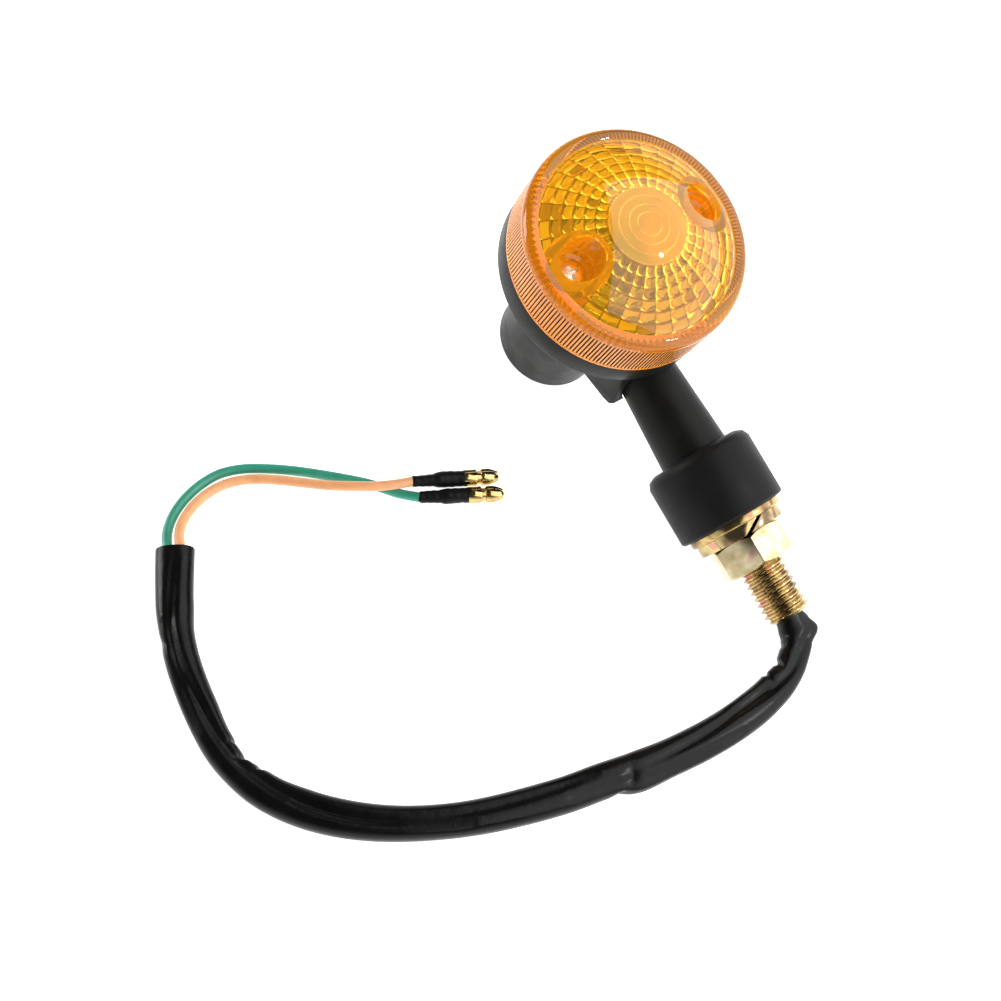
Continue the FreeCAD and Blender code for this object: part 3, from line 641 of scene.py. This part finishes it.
def outer_rows():
    """(radius, z, ribbed) up the outside of the lens and in over its face."""
    slope = (BASE_R - RIM_R) / (RIM_TOP - EDGE - BASE_Z)
    rows = [(BASE_R - inset, z, False) for inset, z in BEAD_OUTLINE]
    heights = [BEAD_TOP + (RIB_TOP - BEAD_TOP) * i / RIB_ROWS for i in range(RIB_ROWS + 1)]
    heights += [BEAD_TOP + RIB_FADE, RIB_TOP - RIB_FADE]
    rows += [(BASE_R - slope * (z - BASE_Z), z, True) for z in sorted(heights)]
    centre_r, centre_z = RIM_R - EDGE, RIM_TOP - EDGE
    for i in range(1, EDGE_STEPS + 1):
        turn = math.radians(90) * i / EDGE_STEPS
        rows.append((centre_r + EDGE * math.cos(turn), centre_z + EDGE * math.sin(turn), False))
    rows.append((FACE_R + LIP, RIM_TOP - LIP_DROP, False))
    rows.append((FACE_R, RIM_TOP - FACE_DROP, False))
    for i in range(1, DOME_STEPS):
        r = FACE_R * (1 - i / DOME_STEPS)
        rows.append((r, dome_height(r, RIM_TOP, FACE_R), False))
    return rows


def pillow(u, v):
    """Height of a rounded cell at u, v, each from 0 to 1 across it."""
    return PILLOW * (2 - (2 * u - 1) ** 2 - (2 * v - 1) ** 2)


def prism_row(ring, step):
    """Radius of one of the rows of points across a ring of prisms."""
    pitch = (INNER_FACE_R - PRISM_MARGIN - BULLSEYE_R - PRISM_MARGIN) / RINGS
    return BULLSEYE_R + PRISM_MARGIN + pitch * (ring + step / PRISM_STEPS)


def centre_rows():
    """The bullseye's plain rings, with a line cut into the plastic round each."""
    rows = []
    start = CENTRE_START
    for line in CENTRE_LINES:
        for r in (start, (start + line) / 2, line - LINE_WIDTH, line, line + LINE_WIDTH):
            rise = LINE_DEPTH if r == line else 0
            rows.append((r, dome_height(r, INNER_TOP, INNER_FACE_R) + rise, "plain", 0))
        start = line + LINE_GAP
    return rows


def inner_rows():
    """(radius, z, kind, v) from the middle of the inside face out and down the inner wall."""
    rows = centre_rows()
    for ring in range(RINGS):
        for step in range(1, PRISM_STEPS + 1):
            r = prism_row(ring, step)
            rows.append((r, dome_height(r, INNER_TOP, INNER_FACE_R), "pillow", step / PRISM_STEPS))
    rows.append((INNER_FACE_R, INNER_TOP - INNER_STEP, "plain", 0))
    rows.append((INNER_FACE_R + INNER_STRIP, INNER_TOP - INNER_STEP - 0.1, "plain", 0))
    rows.append((INNER_WALL_R, INNER_TOP - WALL_DROP, "wall", 0))
    for share in (0.05, 0.33, 0.66, 0.95):
        z = INNER_TOP - WALL_DROP + (BASE_Z - INNER_TOP + WALL_DROP) * share
        rows.append((INNER_WALL_R + (INNER_BASE_R - INNER_WALL_R) * share, z, "wall", 0))
    rows.append((INNER_BASE_R, BASE_Z, "plain", 0))
    return rows


def lens_points():
    """Rings of points over the outside of the lens, then over its inside."""
    points = []
    for r, z, ribbed in outer_rows():
        for j in range(SEGMENTS):
            angle = math.tau * j / SEGMENTS
            reach = r + (rib_height(angle, z) if ribbed else 0)
            points.append((reach * math.cos(angle), reach * math.sin(angle), z))
    for r, z, kind, v in inner_rows():
        for j in range(SEGMENTS):
            angle = math.tau * j / SEGMENTS
            reach, height = r, z
            if kind == "pillow":
                height -= pillow(angle / math.tau * SECTORS % 1.0, v)
            if kind == "wall":
                reach -= TOOTH_DEPTH * abs(2 * (angle / math.tau * TEETH % 1.0) - 1)
            points.append((reach * math.cos(angle), reach * math.sin(angle), height))
    return points


def lens_body():
    """The ribbed cup with its prisms: one closed surface, through the two middles and the base."""
    outer, inner = outer_rows(), inner_rows()
    outside, inside = len(outer), len(inner)
    points = lens_points()
    top, under = len(points), len(points) + 1
    points += [(0, 0, RIM_TOP + DOME), (0, 0, INNER_TOP + DOME)]
    faces = []
    finishes = []
    for i in range(outside - 1):
        faces += ring_quads(i, i + 1)
        ribbed = outer[i][2] and outer[i + 1][2]
        plain = RIM if outer[i + 1][0] > FACE_R else CLEAR
        finishes += [rib_finish(m) if ribbed else plain for m in range(SEGMENTS)]
    for i in range(inside - 1):
        faces += ring_quads(outside + i, outside + i + 1)
        finishes += [inner_finish(inner[i + 1], m) for m in range(SEGMENTS)]
    faces += ring_quads(outside + inside - 1, 0)
    finishes += [CLEAR] * SEGMENTS
    last_outer = (outside - 1) * SEGMENTS
    first_inner = outside * SEGMENTS
    for j in range(SEGMENTS):
        k = (j + 1) % SEGMENTS
        faces.append((last_outer + j, last_outer + k, top))
        faces.append((first_inner + k, first_inner + j, under))
        finishes += [CLEAR, EYE_REFLECTION]
    body = add_mesh("lens_shell", points, faces)
    amber_slots(body, CLEAR)
    body.data.polygons.foreach_set("material_index", finishes)
    return body


def rib_finish(column):
    """The faces at the foot of each rib get a near-black amber as painted shade."""
    per_rib = SEGMENTS // RIBS
    return GROOVE_SHADE if column % per_rib in (0, 1, per_rib - 1) else RIDGE


def inner_finish(row, column):
    """Clear prisms with painted shade in the gaps round them, and a thick wall."""
    radius, _, kind, v = row
    if kind == "wall":
        return RIM
    # The bullseye gets the paler amber, a painted reflection of the bulb.
    if kind == "plain" and radius < BULLSEYE_R + PRISM_MARGIN:
        return EYE_REFLECTION
    if kind != "pillow":
        return CLEAR
    per_sector = SEGMENTS // SECTORS
    # A prism's side columns and its first and last rows get painted shade.
    sides = [shade_column % per_sector for shade_column in SHADE_GAP_COLUMNS]
    if column % per_sector in sides or v in (1 / PRISM_STEPS, 1.0):
        return GAP_SHADE
    # Some prisms get a darker amber as painted shade.
    return PAINTED_DARK if (column // per_sector, radius) in PAINTED_DARK_CELLS else CLEAR


def choose_painted_dark_cells():
    """Prisms painted dark as painted shade, for the dark inside of the housing seen through them: a few all
    over, and most of those below one well.
    """
    draw = random.Random(PAINTED_DARK_SEED)
    chosen = set()
    for sector in range(SECTORS):
        off = (360 * (sector + 0.5) / SECTORS - SHADE_ANGLE + 180) % 360 - 180
        chance = PAINTED_DARK_ANYWHERE + PAINTED_DARK_IN_SHADE * math.exp(-((off / SHADE_SPREAD) ** 2))
        for ring in range(RINGS):
            if draw.random() < chance:
                chosen |= {(sector, prism_row(ring, step)) for step in range(1, PRISM_STEPS + 1)}
    return chosen


def ring_quads(i, j):
    """Faces between rings i and j of the lens."""
    a, b = i * SEGMENTS, j * SEGMENTS
    return [(a + m, a + (m + 1) % SEGMENTS, b + (m + 1) % SEGMENTS, b + m) for m in range(SEGMENTS)]


def plug(name, outline, y, segments=72):
    """A solid turned about a screw's axis, used to add or cut."""
    points = []
    for r, z in outline:
        for j in range(segments):
            angle = math.tau * j / segments
            points.append((r * math.cos(angle), y + r * math.sin(angle), z))
    faces = grid_faces(len(outline), segments, False)
    faces.append(tuple(reversed(range(segments))))
    faces.append(tuple(range((len(outline) - 1) * segments, len(outline) * segments)))
    return add_mesh(name, points, faces)


def combine(target, tool, operation):
    """Joins, cuts or keeps what the target shares with the tool, and removes the tool."""
    modifier = target.modifiers.new(operation, "BOOLEAN")
    modifier.operation = operation
    modifier.solver = "MANIFOLD"
    modifier.object = tool
    apply_modifiers(target)
    bpy.data.objects.remove(tool)


def boss(y):
    """The screw boss, ending just under the lens's outer surface."""
    outline = [(WELL_BOSS_R - BOSS_EDGE, POST_TOP), (WELL_BOSS_R, POST_TOP + BOSS_EDGE)]
    outline += [(WELL_BOSS_R, RIM_TOP + DOME)]
    piece = plug("boss", outline, y)
    amber_slots(piece, THICK)
    steps = [1 - i / 10 for i in range(10)]
    core = [(FACE_R + OVERLAP, POST_TOP - OVERLAP), (FACE_R + OVERLAP, RIM_TOP - EDGE)]
    core += [(FACE_R * k, dome_height(FACE_R * k, RIM_TOP - BOSS_DEPTH, FACE_R)) for k in steps]
    inner_core = plug("core", core, 0)
    amber_slots(inner_core, THICK)
    combine(piece, inner_core, "INTERSECT")
    return piece


def make_lens():
    """The ribbed cup with a boss, a well and a hole for each of its two screws."""
    lens = lens_body()
    hole = [(SCREW_R, POST_TOP - OVERLAP), (SCREW_R, WELL_FLOOR + OVERLAP)]
    for side in (-1, 1):
        y = side * SCREW_OFFSET
        combine(lens, boss(y), "UNION")
        for name, outline in (("well", WELL_OUTLINE), ("hole", hole)):
            cutter = plug(name, outline, y)
            amber_slots(cutter, THICK)
            combine(lens, cutter, "DIFFERENCE")
    lens.data.transform(HEAD)
    lens.name = "lens_moulding"
    shade(lens.data, 35)
    stand_for(lens, "lens")


# ---- Reflector -------------------------------------------------------------------------------------
def make_reflector():
    """Bright fluted bowl, notched round the screw bosses: its upper side outwards, then its back inwards."""
    points = []
    for upper in (True, False):
        for i in range(REFLECTOR_ROWS + 1):
            share = i / REFLECTOR_ROWS if upper else 1 - i / REFLECTOR_ROWS
            r = REFLECTOR_HOLE_R + (REFLECTOR_R - REFLECTOR_HOLE_R) * share
            z = REFLECTOR_BOTTOM + (REFLECTOR_TOP - REFLECTOR_BOTTOM) * share**REFLECTOR_CURVE
            z += REFLECTOR_WALL if upper else 0
            for j in range(REFLECTOR_COLUMNS):
                angle = math.tau * j / REFLECTOR_COLUMNS
                flute = abs(2 * (angle / math.tau * FLUTES % 1.0) - 1) * FLUTE_DEPTH * share
                points.append((r * math.cos(angle), r * math.sin(angle), z - flute))
    faces = grid_faces(2 * REFLECTOR_ROWS + 2, REFLECTOR_COLUMNS, True)
    bowl = add_mesh("reflector_bowl", points, faces, smooth_below=25)
    notch_r = WELL_BOSS_R + NOTCH_GAP
    notch = [(notch_r, REFLECTOR_BOTTOM - NOTCH_BELOW), (notch_r, REFLECTOR_TOP + NOTCH_ABOVE)]
    for side in (-1, 1):
        combine(bowl, plug("notch", notch, side * SCREW_OFFSET), "DIFFERENCE")
    bowl.data.transform(HEAD)
    shade(bowl.data, 12)
    stand_for(bowl, "reflector")


# ---- Stud ------------------------------------------------------------------------------------------
def thread_outline():
    """(share of the pitch, radius) over one turn of the thread."""
    middle = (THREAD_R + THREAD_ROOT_R) / 2
    return [
        (0.0, THREAD_R),
        (0.10, THREAD_R),
        (0.15, THREAD_R - 0.06),
        (0.35, middle),
        (0.50, THREAD_ROOT_R + 0.04),
        (0.58, THREAD_ROOT_R),
        (0.66, THREAD_ROOT_R + 0.04),
        (0.81, middle),
        (0.96, THREAD_R - 0.06),
    ]


def stud_point(x, r, angle):
    return x, -r * math.sin(angle), STEM_Z + r * math.cos(angle)


def thread_points():
    """Rings of points that follow the helix, pressed flat at the stud's ends."""
    turns = math.ceil((STUD_END - STUD_START) / THREAD_PITCH) + 2
    points = []
    for turn in range(turns):
        for share, profile_r in thread_outline():
            for j in range(THREAD_SEGMENTS):
                x = STUD_START + THREAD_PITCH * (turn - 1 + share + j / THREAD_SEGMENTS)
                x = min(max(x, STUD_START), STUD_END)
                room = min(x - STUD_START, STUD_END - x)
                r = min(profile_r, THREAD_LOW_R + THREAD_RISE * room / THREAD_RUN)
                points.append(stud_point(x, r, math.tau * j / THREAD_SEGMENTS))
    return points


def thread_faces(rows):
    """Quads along the helix: past the last segment, a ring goes on in the next turn's ring."""
    faces = []
    step = len(thread_outline())
    for i in range(rows - 1):
        for j in range(THREAD_SEGMENTS):
            k = (j + 1) % THREAD_SEGMENTS
            shift = step if k == 0 else 0
            if i + 1 + shift < rows:
                a, b = (i + shift) * THREAD_SEGMENTS, (i + 1 + shift) * THREAD_SEGMENTS
                faces.append((i * THREAD_SEGMENTS + j, a + k, b + k, (i + 1) * THREAD_SEGMENTS + j))
    return faces


def make_stud():
    """The screw thread as one helix, chamfered at its ends, with the bore for the leads."""
    points = thread_points()
    rows = len(points) // THREAD_SEGMENTS
    bore = [(STUD_END, STUD_BORE_R + BORE_EDGE), (STUD_END - BORE_EDGE, STUD_BORE_R)]
    bore += [(STUD_START, STUD_BORE_R)]
    for x, r in bore:
        points += [stud_point(x, r, math.tau * j / THREAD_SEGMENTS) for j in range(THREAD_SEGMENTS)]
    faces = thread_faces(rows)
    for i in range(rows - 1, rows + len(bore) - 1):
        faces += ring_bridge(i, i + 1)
    faces += ring_bridge(rows + len(bore) - 1, 0)
    stud = add_mesh("threaded_stud", points, faces, HEAD, smooth_below=28)
    stud.data.materials.append(MATERIALS["thread_zinc"])
    stand_for(stud, "stud")


def ring_bridge(i, j):
    """Faces between rings i and j of the stud."""
    n = THREAD_SEGMENTS
    return [(i * n + m, i * n + (m + 1) % n, j * n + (m + 1) % n, j * n + m) for m in range(n)]


# ---- Cords -----------------------------------------------------------------------------------------
def route_points(points, resolution=30):
    """Points along the smooth route, read from Blender's own NURBS."""
    curve = bpy.data.curves.new("guide", "CURVE")
    curve.dimensions = "3D"
    spline = curve.splines.new("NURBS")
    spline.points.add(len(points) - 1)
    for control, point in zip(spline.points, points):
        control.co = (*point, 1)
    spline.order_u = 3
    spline.use_endpoint_u = True
    spline.resolution_u = resolution
    guide = bpy.data.objects.new("guide", curve)
    bpy.context.scene.collection.objects.link(guide)
    line = mesh_of(guide)
    path = [v.co.copy() for v in line.vertices]
    bpy.data.objects.remove(guide)
    bpy.data.curves.remove(curve)
    bpy.data.meshes.remove(line)
    return path


def running_lengths(path):
    """Distance along the path at each of its points."""
    lengths = [0.0]
    for a, b in zip(path, path[1:]):
        lengths.append(lengths[-1] + (b - a).length)
    return lengths


def tube_along(name, path, section, columns, smooth_below=50):
    """A closed tube: section(distance, angle) gives (sideways, upwards) from the path, in metres."""
    lengths = running_lengths(path)
    points = []
    for i, centre in enumerate(path):
        ahead = path[min(i + 1, len(path) - 1)] - path[max(i - 1, 0)]
        ahead.normalize()
        side = Vector((0, 0, 1)).cross(ahead).normalized()
        up = ahead.cross(side)
        for j in range(columns):
            a, b = section(lengths[i], math.tau * j / columns)
            points.append(centre + side * a + up * b)
    faces = grid_faces(len(path), columns, False)
    faces.append(tuple(reversed(range(columns))))
    faces.append(tuple(range((len(path) - 1) * columns, len(path) * columns)))
    return add_mesh(name, points, faces, smooth_below=smooth_below)


def swell(distance, centre, width):
    """1 at centre, fading to 0 a width away."""
    share = min(1.0, abs(distance - centre) / width)
    return 0.5 + 0.5 * math.cos(math.pi * share)


def between(table, distance):
    """The row of a table at a distance, with its values eased between the rows on each side."""
    for low, high in zip(table, table[1:]):
        if distance <= high[0]:
            share = max(0.0, (distance - low[0]) / (high[0] - low[0]))
            share = share * share * (3 - 2 * share)
            return [a + (b - a) * share for a, b in zip(low[1:], high[1:])]
    return table[-1][1:]


def turn_between(angle, middle):
    """Degrees from middle to angle, at most 180."""
    return abs((math.degrees(angle) - middle + 180) % 360 - 180)


def sleeve_section(distance, angle):
    """Flattened soft sleeve: folds run along it, and it buckles across where it bends sharply."""
    s = distance / MM
    wide, high, shift = between(SLEEVE_SHAPE, s)
    dent = 0.0
    for start, end, first, last, depth, spread in LONG_FOLDS:
        if start < s < end:
            share = (s - start) / (end - start)
            middle = first + (last - first) * share
            ends = math.sin(math.pi * share) ** 0.5
            dent += depth * ends * swell(turn_between(angle, middle), 0, spread)
    for place, middle, depth, length, spread in BUCKLES:
        slanted = s - place + 0.02 * ((math.degrees(angle) - middle + 180) % 360 - 180)
        across = max(0.0, 1 - abs(slanted) / length)
        dent += depth * across * across * swell(turn_between(angle, middle), 0, spread)
    flat = math.cos(angle), math.sin(angle)
    reach = (abs(flat[0]) ** 2.4 + abs(flat[1]) ** 2.4) ** (-1 / 2.4)
    a = (wide * reach - dent) * flat[0] + shift
    b = (high * reach - dent) * flat[1]
    return a * MM, b * MM


def make_sleeve():
    path = route_points(SLEEVE_ROUTE)
    sleeve = tube_along("sleeve", path, sleeve_section, columns=72)
    stand_for(sleeve, "cable_sleeve")


def turned_along(name, start, along, rows, columns=48):
    """A piece turned about a line: rows give (distance, radius, dip of the seam) in millimetres."""
    side = Vector((0, 0, 1)).cross(along).normalized()
    up = along.cross(side)
    points = []
    for distance, radius, seam in rows:
        for j in range(columns):
            angle = math.tau * j / columns
            r = radius - seam * swell(turn_between(angle, SEAM_ANGLE), 0, SEAM_SPREAD)
            offset = along * distance + side * r * math.cos(angle) + up * r * math.sin(angle)
            points.append(start + offset * MM)
    faces = grid_faces(len(rows), columns, False)
    faces.append(tuple(reversed(range(columns))))
    faces.append(tuple(range((len(rows) - 1) * columns, len(rows) * columns)))
    return add_mesh(name, points, faces, smooth_below=30)


def shrink_section(length, phase):
    """Heat-shrink tube: narrow on the wire, wider over the crimp, and uneven where it has drawn in."""
    def section(distance, angle):
        share = distance / length
        radius, = between(SHRINK_SHAPE, share)
        radius *= 1 + 0.045 * math.sin(2 * angle + 5 * share + phase)
        radius *= 1 + 0.02 * math.sin(3 * angle - 9 * share + 2 * phase)
        radius += 0.03 * math.sin(46 * share + 1.5 * math.sin(angle + phase))
        return radius * MM * math.cos(angle), radius * MM * math.sin(angle)
    return section


def make_terminal(colour, start, tip, phase):
    """Heat-shrink sleeve and a rolled bullet with a neck and a hollow nose."""
    along = (tip - start).normalized()
    foot = tip - along * BULLET_LENGTH
    length = (foot - start).length + SHRINK_OVERLAP
    count = 40
    path = [start + along * length * i / count for i in range(count + 1)]
    shrink = tube_along(f"{colour}_shrink_tube", path, shrink_section(length, phase), columns=40)
    bullet = turned_along(f"{colour}_bullet_pin", foot, along, BULLET_OUTLINE)
    stand_for(shrink, f"{colour}_heat_shrink")
    stand_for(bullet, f"{colour}_bullet")
    return [shrink, bullet]


def wire_section(_, angle):
    return WIRE_D / 2 * math.cos(angle), WIRE_D / 2 * math.sin(angle)


def make_wire(colour, route, tip, phase):
    """One wire with its terminal; phase varies how the heat-shrink has drawn in."""
    path = route_points(route, resolution=12)
    wire = tube_along(f"{colour}_lead", path, wire_section, columns=24)
    stand_for(wire, f"{colour}_wire")
    extras = make_terminal(colour, Vector(route[-1]), Vector(tip), phase)


# ---- Contact spring and the live lead under it -----------------------------------------------------
def in_head(point):
    return HEAD @ Vector(point)


def spring_section(_, angle):
    return SPRING_WIRE_R * MM * math.cos(angle), SPRING_WIRE_R * MM * math.sin(angle)


def make_spring():
    """The contact's coil spring, with closed ends."""
    path = []
    steps = SPRING_STEPS * SPRING_TURNS
    low, high = SPRING_BOTTOM + SPRING_WIRE_R, SPRING_TOP - SPRING_WIRE_R
    for i in range(steps + 1):
        angle = math.tau * i / SPRING_STEPS
        rise = (i / steps - SPRING_CLOSED) / (1 - 2 * SPRING_CLOSED)
        z = low + (high - low) * min(1.0, max(0.0, rise))
        path.append(in_head((SPRING_R * math.cos(angle), SPRING_R * math.sin(angle), z)))
    spring = tube_along("contact_coil", path, spring_section, columns=12)
    stand_for(spring, "contact_spring")
    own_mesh(spring)


def make_live_lead():
    """The lead under the contact: a slack drop, and the run up to the stem."""
    drop = [(0, 0, RIVET_END), (0, 0, RIVET_END - 2), (0, 0, LEAD_FLOOR + 1), (0.6, 0.1, LEAD_FLOOR)]
    run = [(0.6, 0.1, LEAD_FLOOR), (4, 0.5, LEAD_FLOOR), (LEAD_X, LEAD_Y, LEAD_FLOOR)]
    run += [(LEAD_X, LEAD_Y, LEAD_FLOOR + 6), (LEAD_X, LEAD_Y, STEM_Z - 5), (LEAD_X, LEAD_Y, STEM_Z)]
    run += [(LEAD_X + 5, LEAD_Y, STEM_Z), (STUD_START, LEAD_Y, STEM_Z), (LEADS_END, LEAD_Y, STEM_Z)]
    slack = tube_along("live_lead_drop", route_points([in_head(p) for p in drop]), wire_section, columns=20)
    rest = tube_along("live_lead_run", route_points([in_head(p) for p in run]), wire_section, columns=20)
    for piece in (slack, rest):
        stand_for(piece, "orange_inner_lead")
    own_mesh(slack)


# ---- Scene -----------------------------------------------------------------------------------------
def make_camera():
    """The camera stands and looks as the photograph's did."""
    data = bpy.data.cameras.new("camera")
    data.lens = 46.02
    data.sensor_width = 36
    data.clip_end = 10
    camera = bpy.data.objects.new("camera", data)
    camera.location = (0.103435, -0.141099, 0.245060)
    camera.rotation_euler = [math.radians(a) for a in (31.8952, -5.3316, 55.1806)]
    bpy.context.scene.collection.objects.link(camera)
    bpy.context.scene.camera = camera


def make_floor():
    reach = 6.0
    points = [(-reach, -reach, 0), (reach, -reach, 0), (reach, reach, 0), (-reach, reach, 0)]
    floor = add_mesh("table", points, [(0, 1, 2, 3)])
    floor.data.materials.append(white_table())


def area_light(name, location, target, size, power, colour, upright=None):
    """A rectangle of light facing the target; upright is the way that its second side points."""
    data = bpy.data.lights.new(name, "AREA")
    data.color = colour
    data.shape = "RECTANGLE"
    data.size, data.size_y = size
    data.energy = power
    light = bpy.data.objects.new(name, data)
    away = (Vector(location) - Vector(target)).normalized()
    across = Vector(upright or (0, 0, 1)).cross(away).normalized()
    turn = Matrix((across, away.cross(across), away)).transposed().to_4x4()
    light.matrix_world = Matrix.Translation(location) @ turn
    bpy.context.scene.collection.objects.link(light)


def make_world():
    """A white sweep low down all round, and a dim ceiling."""
    world = bpy.data.worlds.new("studio")
    world.use_nodes = True
    tree = world.node_tree
    background = tree.nodes["Background"]
    direction = tree.nodes.new("ShaderNodeTexCoord")
    split = tree.nodes.new("ShaderNodeSeparateXYZ")
    ramp = tree.nodes.new("ShaderNodeValToRGB")
    stops = [(0.0, 1.0), (0.28, 0.90), (0.40, 0.10), (1.0, 0.05)]
    elements = ramp.color_ramp.elements
    while len(elements) < len(stops):
        elements.new(0.5)
    for element, (position, level) in zip(elements, stops):
        element.position = position
        element.color = (level, level, level, 1)
    tree.links.new(direction.outputs["Generated"], split.inputs["Vector"])
    tree.links.new(split.outputs["Z"], ramp.inputs["Fac"])
    tree.links.new(ramp.outputs["Color"], background.inputs["Color"])
    background.inputs["Strength"].default_value = 1.0
    bpy.context.scene.world = world


def make_lights():
    """A small box on the left, a tall panel on the right that veils half the lens, and a spark."""
    middle = (-0.02, 0, 0.05)
    area_light("left_box", (-0.72, -0.52, 0.30), middle, (0.30, 0.5), 3.5, (1.0, 0.96, 0.90))
    area_light("panel", (0.365, 0.496, 0.70), middle, (2.0, 1.4), 19, (1, 1, 1), (-0.19, -0.53, 0.83))
    area_light("spark", (0.33, 0.33, 0.63), middle, (0.035, 0.035), 0.8, (1, 1, 1))


def finish_cad_pieces():
    """Gives the CAD nodes that still show their finish."""
    for name, node in NODES.items():
        if node.hide_render:
            continue
        node.data.materials.clear()
        node.data.materials.append(MATERIALS[SLOTS[name]])
        shade(node.data, 30)


MATERIALS = make_materials()
SLOTS = {part["node"]: part["material_slot"] for part in frame["record"]["subparts"]}

PAINTED_DARK_CELLS = choose_painted_dark_cells()
make_lens()
make_reflector()
make_stud()
make_sleeve()
make_wire("green", GREEN_ROUTE, GREEN_TIP, 0.6)
make_wire("orange", ORANGE_ROUTE, ORANGE_TIP, 2.4)
make_spring()
make_live_lead()
for name, width, finish in ROUNDED:
    soften(name, width, finish)
finish_cad_pieces()
make_floor()
make_camera()
make_world()
make_lights()
bpy.context.scene.view_settings.view_transform = "Standard"
